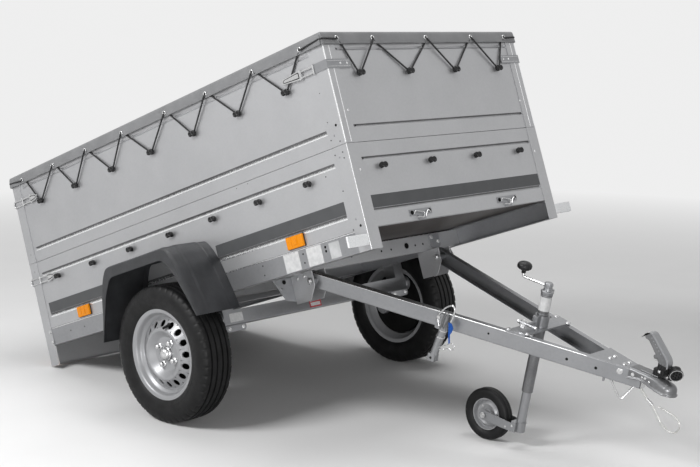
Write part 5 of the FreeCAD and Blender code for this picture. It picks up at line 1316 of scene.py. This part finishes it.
def plug_and_holder():
    """Round plug with ribs, a bright collar and dark contacts, on its foot, and the elbow behind it."""
    shape = Shape("plug_and_holder", "drawbar", BAR, ["black", "bright", "dark"])
    turn, rise = math.radians(45), math.radians(16)
    way = Vector((math.cos(rise) * math.sin(turn), -math.cos(rise) * math.cos(turn), -math.sin(rise)))
    body = [(-36, 0), (-36, 13), (-33, 17), (-29, 20)]
    for rib in range(5):
        start = -27 + rib * 4
        body += [(start, 21.4), (start + 2, 21.4), (start + 2.4, 20), (start + 3.6, 20)]
    body += [(-6.6, 22), (-6, 24.6), (-1.4, 25), (0, 24), (0, 19.4), (-3.4, 18.6), (-3.4, 0)]
    shape.turned(body, PLUG_CENTRE, way, 36, "black")
    collar = [(-1.2, 23.2), (0.7, 23.2), (0.7, 21), (-1.2, 21)]
    shape.turned(collar, PLUG_CENTRE, way, 36, "bright", closed=True)
    basis = aim(way).to_3x3()
    for offset in [*circle(6, 11), Vector()]:
        contact = PLUG_CENTRE + basis @ offset
        shape.rod(contact - way * 3.6, contact - way, 2.6, "dark", 10, 0.4)
    shape.box((-5, -8, 38.4), (11, 8, 54), 2, "black")
    elbow = [PLUG_CENTRE - way * 33, PLUG_CENTRE - way * 44, Vector((-9, 24, 66)), Vector((-10, 26, 38))]
    shape.tube(rounded(elbow, 12, 6), 7, "black", 14)
    for ring in range(3):
        shape.turned([(0, 7), (0.6, 8.6), (2.6, 8.6), (3.2, 7)], (-10, 26, 42 + 5 * ring), "z", 18, "black")
    shape.done(smooth=40, replaces=["parked_plug"])


# Jockey wheel

JOCKEY_X = -547
JOCKEY_HUB = Vector((-696, 0, -378.3))


def jockey_head():
    """Outer tube with its threaded ring, bare sleeve label, cap with an ear, crank rod and knob."""
    tube = Shape("jockey_main_tube", "drawbar", BAR, ["frame", "label", "worn_zinc"])
    centre = Vector((JOCKEY_X, 0, 0))
    wall = [(-226, 17.8), (-226, 20.4), (-225, 21), (164, 21), (165, 20.4), (165, 17.8)]
    tube.turned(wall, centre, "z", 40, "worn_zinc", closed=True)
    tube.turned([(98, 20.5), (98, 21.5), (151, 21.5), (151, 20.5)], centre, "z", 40, "label", closed=True)
    for level in (84, 154, 160):
        tube.turned([(level, 20), (level + 0.6, 22.4), (level + 3.4, 22.4), (level + 4, 20)], centre, "z", 40,
                    "frame", closed=True)
    tube.done(smooth=40, replaces=["jockey_outer_tube"])
    crank = Shape("jockey_crank_rod", "drawbar", BAR, ["bright", "frame"])
    collar = [(165.2, 0), (165.2, 23.4), (166.4, 24.4), (171.6, 24.4), (173, 23.2), (174, 17.6),
               (176, 16.4), (186, 16), (187, 14.8), (188.4, 14.8), (189.4, 16), (201, 16), (203.6, 14.8),
               (205, 12), (205, 0)]
    crank.turned(collar, centre, "z", 36, "frame")
    crank.box((JOCKEY_X - 10, 20, 167), (JOCKEY_X + 10, 31, 176), 2, "frame")
    for spot in circle(12, 16, 189.6):
        crank.rod(centre + spot, centre + spot + Vector((0, 0, 11)), 1, "frame", 8, 0.3)
    knob = Vector((JOCKEY_X - 117, 0, 230))
    path = [Vector((JOCKEY_X, 0, 190)), Vector((JOCKEY_X - 117, 0, 190)), knob - Vector((0, 0, 2))]
    crank.tube(rounded(path, 13, 7), 5, "bright", 16)
    crank.done(smooth=40, replaces=["jockey_crank"])
    grip = Shape("moulded_knob", "drawbar", BAR, ["black"])
    profile = [(-28, 5.2), (-28, 7), (-27, 8), (-20, 8.6), (-16, 12), (-13, 20), (-9, 25.4), (-4, 27.6),
                (0, 28), (5, 27.2), (10, 24), (14, 18), (16.6, 11), (17.8, 4), (18, 0)]
    grip.turned(profile, knob, "z", 40, "black")
    for spot in circle(8, 25.8, -7):
        grip.rod(knob + spot, knob + spot + Vector((0, 0, 11)), 2.4, "black", 10, 0.8)
    grip.done(smooth=50, replaces=["crank_knob"])


def jockey_details():
    """Nut and pin of the clamp's handle, rivets of the fork, pressed rim and tyre."""
    clip = Shape("clamp_clip", "drawbar", BAR, ["bright"])
    clip.turned([(0, 9), (5, 9), (6, 8)], (JOCKEY_X, -118, 55), "y", 18, "bright")
    for along in (-39, 39):
        clip.turned([(-1, 5), (0, 6.4), (5, 6.4), (6, 5)], (JOCKEY_X + along, -91, 55), "x", 14, "bright")
    angles = [math.radians(-60 + 24 * step) for step in range(14)]
    ring = [(-588 + 17 * math.cos(angle), -50, 34 + 17 * math.sin(angle)) for angle in angles]
    clip.tube([(-556, -52, 14), (-570, -51, 12), *ring, (-572, -48, 8), (-540, -44, 6)], 1.8, "bright", 8)
    clip.done(smooth=40)
    rivets = Shape("fork_rivets", "jockey_fork", BAR, ["bright"])
    for side in SIDES.values():
        rivets.bolt(JOCKEY_HUB + Vector((0, side * 38.6, 0)), (0, side, 0), 8)
        for along, level in ((-562, -368), (-590, -382)):
            rivets.dome((along, side * 34.5, level), (0, side, 0), 4.6, "bright", 0.45)
    rivets.done(smooth=40)
    rim = Shape("jockey_pressed_rim", "jockey_wheel", BAR, ["silver", "bright"])
    dish = [(-30, 6.2), (-30, 13), (-29, 14), (-10, 14), (-6, 17), (-9, 30), (-13.5, 37), (-14, 41),
            (-10, 46), (-4, 52), (-4, 55), (-14, 56.6), (-16.7, 58), (-16.7, 61.6), (0, 59.5), (16.7, 61.6),
            (16.7, 58), (14, 56.6), (4, 55), (4, 52), (10, 46), (14, 41), (13.5, 37), (9, 30), (6, 17),
            (10, 14), (29, 14), (30, 13), (30, 6.2)]
    rim.turned(dish, JOCKEY_HUB, "y", 56, "silver", closed=True)
    for side in SIDES.values():
        for spot in circle(4, 34, 0, 0.5):
            rim.bolt(JOCKEY_HUB + Vector((spot.x, side * 11, spot.y)), (0, side, 0), 4.4, "bright")
    rim.done(smooth=36, replaces=["jockey_rim"])
    tyre = Shape("jockey_solid_tyre", "jockey_wheel", BAR, ["tyre"])
    half = [(16.6, 62.4), (20, 66), (23.4, 72), (25, 79), (24.6, 86), (23.4, 88), (23.4, 89.4), (21.6, 94.6),
            (17, 98.6), (11.4, 100), (9.6, 99.8), (8.8, 97.8), (6.8, 97.8), (6, 99.9)]
    profile = half + [(-across, radius) for across, radius in reversed(half)]
    tyre.turned(profile, JOCKEY_HUB, "y", 72, "tyre", closed=True)
    tyre.done(smooth=34, replaces=["jockey_tyre"])


LOCK_PLANE = -250


def by_lock(spots):
    """Points in the upright plane in front of the tip lock's tube, each one (along, level, out)."""
    return [Vector((along, LOCK_PLANE - out, level)) for along, level, out in spots]


def tip_lock():
    """Round tube with a flat foot, wire bail over the arm, plate with bolts, blue strap and spring clip."""
    shape = Shape("tip_lock_tube", "drawbar", BAR, ["frame", "bright", "worn_zinc", "dark"])
    top, foot = Vector((-801, -238, -22)), Vector((-826, -238, -148))
    shape.rod(top, foot, 15, "frame", 28, 1.2)
    way = (foot - top).normalized()
    shape.box(foot + Vector((-17, -15, -17)), foot + Vector((15, 15, 12)), 3, "frame")
    shape.rod(foot + Vector((0, -15.4, -4)), foot + Vector((0, -14.6, -4)), 5, "dark", 16)
    for share in (0.08, 0.3):
        spot = top.lerp(foot, share)
        shape.turned([(0, 15), (0.8, 17), (5, 17), (6, 15)], spot, way, 28, "bright")
    shape.box(on_arm(-838, -36, 4), on_arm(-788, 26, 8), 1.2, "frame")
    for along, level in ((-826, 10), (-800, 10), (-812, -16)):
        shape.bolt(on_arm(along, level, 8), ARM_OUT, 6)
    bail = by_lock([(-816, -22, 0), (-829, 3, 0), (-819, 32, 0), (-796, 60, 0), (-771, 76, 0), (-757, 63, 0),
                    (-760, 28, 0), (-772, -6, 0)])
    shape.tube(rounded(bail, 16, 6), 3.4, "bright", 12)
    pin = by_lock([(-806, -24, 4), (-800, 20, 5), (-788, 44, 6), (-778, 40, 6), (-779, 14, 5),
                   (-792, -24, 4)])
    shape.tube(rounded(pin, 9, 5), 2.4, "worn_zinc", 10)
    shape.done(smooth=40, replaces=["tip_lock"])
    strap = Shape("lock_strap", "drawbar", BAR, ["web"])
    centres = by_lock([(-766, 8, 4), (-757, -6, 6), (-757, -22, 7), (-759, -34, 7), (-755, -52, 7),
                       (-751, -68, 7)])
    rings = []
    for centre, half in zip(centres, (8, 11, 8, 3.6, 3, 3)):
        corners = [(-half, -1, 0), (half, -1, 0), (half, 1, 0), (-half, 1, 0)]
        rings.append(strap.ring([centre + Vector(corner) for corner in corners]))
    bridge(strap.bm, rings, caps=True)
    face_outwards(strap.bm)
    strap.done(smooth=40, slot="black_plastic")
    clip = Shape("lock_clip", "drawbar", BAR, ["bright"])
    angles = [math.radians(-130 + 24 * step) for step in range(12)]
    ring = [(-738 + 13 * math.cos(angle), -74 + 13 * math.sin(angle), 7) for angle in angles]
    legs = [(-792, -106, 7), (-780, -96, 7), (-768, -98, 7), (-757, -86, 7)]
    wire = by_lock([*legs, *ring, (-762, -76, 7), (-797, -98, 8)])
    clip.tube(rounded(wire, 5, 4), 1.8, "bright", 8)
    clip.done(smooth=50)


# Safety cable: the route's points as in the solids, millimetres in the drawbar's frame

CABLE_ROUTE = [(-89, -12, -27), (-68, -9, -52), (-38, -4, -72), (-13, 0, -103), (8, 2, -127), (36, 3, -141),
               (62, 2, -137), (78, 0, -114), (73, -2, -92), (52, -3, -77), (22, -4, -71), (-14, -5, -67)]
CABLE_RADIUS = 2.5


def safety_cable():
    data = bpy.data.curves.new("steel_cable", "CURVE")
    data.dimensions = "3D"
    spline = data.splines.new("NURBS")
    spline.points.add(len(CABLE_ROUTE) - 1)
    for point, place in zip(spline.points, CABLE_ROUTE):
        point.co = (*(BAR @ Vector(place)), 1)
    spline.order_u = 3
    spline.use_endpoint_u = True
    spline.resolution_u = 16
    data.bevel_depth = CABLE_RADIUS * MM
    data.bevel_resolution = 4
    data.use_fill_caps = True
    data.materials.append(M["wire"])
    piece = add_object("steel_cable", data)
    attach(piece, "drawbar")
    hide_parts("safety_cable")


# Stage

GROUND = -0.3412
FLOOR_COLOUR = (0.80, 0.80, 0.80)
BACKDROP = 0.86
FLOOR_HALF = 60
LIT_BY_WORLD = 0.2


def floor_material():
    """Pale, faintly mottled floor that runs out into the backdrop's brightness far from the trailer."""
    material, tree, shader, place = new_material("floor", FLOOR_COLOUR, 0, 0.9)
    tone = ramp(tree, noise(tree, place, 350, 3), 0.3, 0.7)
    fill(tree, shader, {"Base Color": blend_colours(tree, tone, (0.79, 0.79, 0.79), (0.81, 0.81, 0.81))})
    distance = add_node(tree, "VectorMath", {0: place, 1: (-1200, 0, GROUND / MM)}, operation="DISTANCE")
    glow = add_node(tree, "Emission", {"Strength": BACKDROP})
    far = ramp(tree, distance.outputs["Value"], 2600, 7500)
    mix = add_node(tree, "MixShader", {"Fac": far, 1: shader.outputs["BSDF"], 2: glow.outputs["Emission"]})
    fill(tree, tree.nodes["Material Output"], {"Surface": mix.outputs["Shader"]})
    return material


def stage():
    mesh = bpy.data.meshes.new("floor")
    corners = [(-1, -1), (1, -1), (1, 1), (-1, 1)]
    mesh.from_pydata([(FLOOR_HALF * x, FLOOR_HALF * y, GROUND) for x, y in corners], [], [(0, 1, 2, 3)])
    floor = add_object("floor", mesh)
    mesh.materials.append(floor_material())


def area_light(name, place, target, size, power):
    data = bpy.data.lights.new(name, "AREA")
    data.shape, data.size, data.size_y, data.energy = "RECTANGLE", size[0], size[1], power
    light = add_object(name, data)
    light.location = place
    light.rotation_euler = (Vector(target) - Vector(place)).to_track_quat("-Z", "Y").to_euler()


def lighting():
    middle = (-1.4, 0, 0.3)
    area_light("key", (-2.8, -5.0, 4.2), middle, (2.4, 1.6), 280)
    area_light("front", (4.6, -2.4, 2.8), middle, (2, 1.6), 30)
    area_light("low", (2.6, -4.2, 0.35), (-1.2, 0, 0), (2.4, 0.9), 115)
    area_light("top", (-1.6, 0.6, 5.0), middle, (4, 2), 130)
    world = bpy.data.worlds.new("world")
    bpy.context.scene.world = world
    world.use_nodes = True
    tree = world.node_tree
    rays = add_node(tree, "LightPath").outputs
    seen = add_node(tree, "Math", {0: rays["Is Camera Ray"], 1: rays["Is Glossy Ray"]}, operation="MAXIMUM")
    strength = ramp(tree, seen.outputs[0], 0, 1, LIT_BY_WORLD, BACKDROP)
    fill(tree, tree.nodes["Background"], {"Color": (1, 1, 1, 1), "Strength": strength})
    bpy.context.scene.view_settings.view_transform = "Standard"


make_camera()
softened()
safety_cable()
cover()
eyelets()
lacing()
rope_hooks()
for side_name, side_sign in SIDES.items():
    road_tyre(side_name, side_sign)
    road_rim(side_name, side_sign)
    road_hub(side_name, side_sign)
    mudguard(side_name, side_sign)
highlight_beads()
stripes_and_labels()
bed_fasteners()
front_clasps()
corner_latches()
bed_lamps()
drawbar_fasteners()
tilt_bolts()
coupling_head()
raised_handle()
plug_and_holder()
jockey_head()
jockey_details()
tip_lock()
stage()
lighting()

bpy.context.view_layer.update()
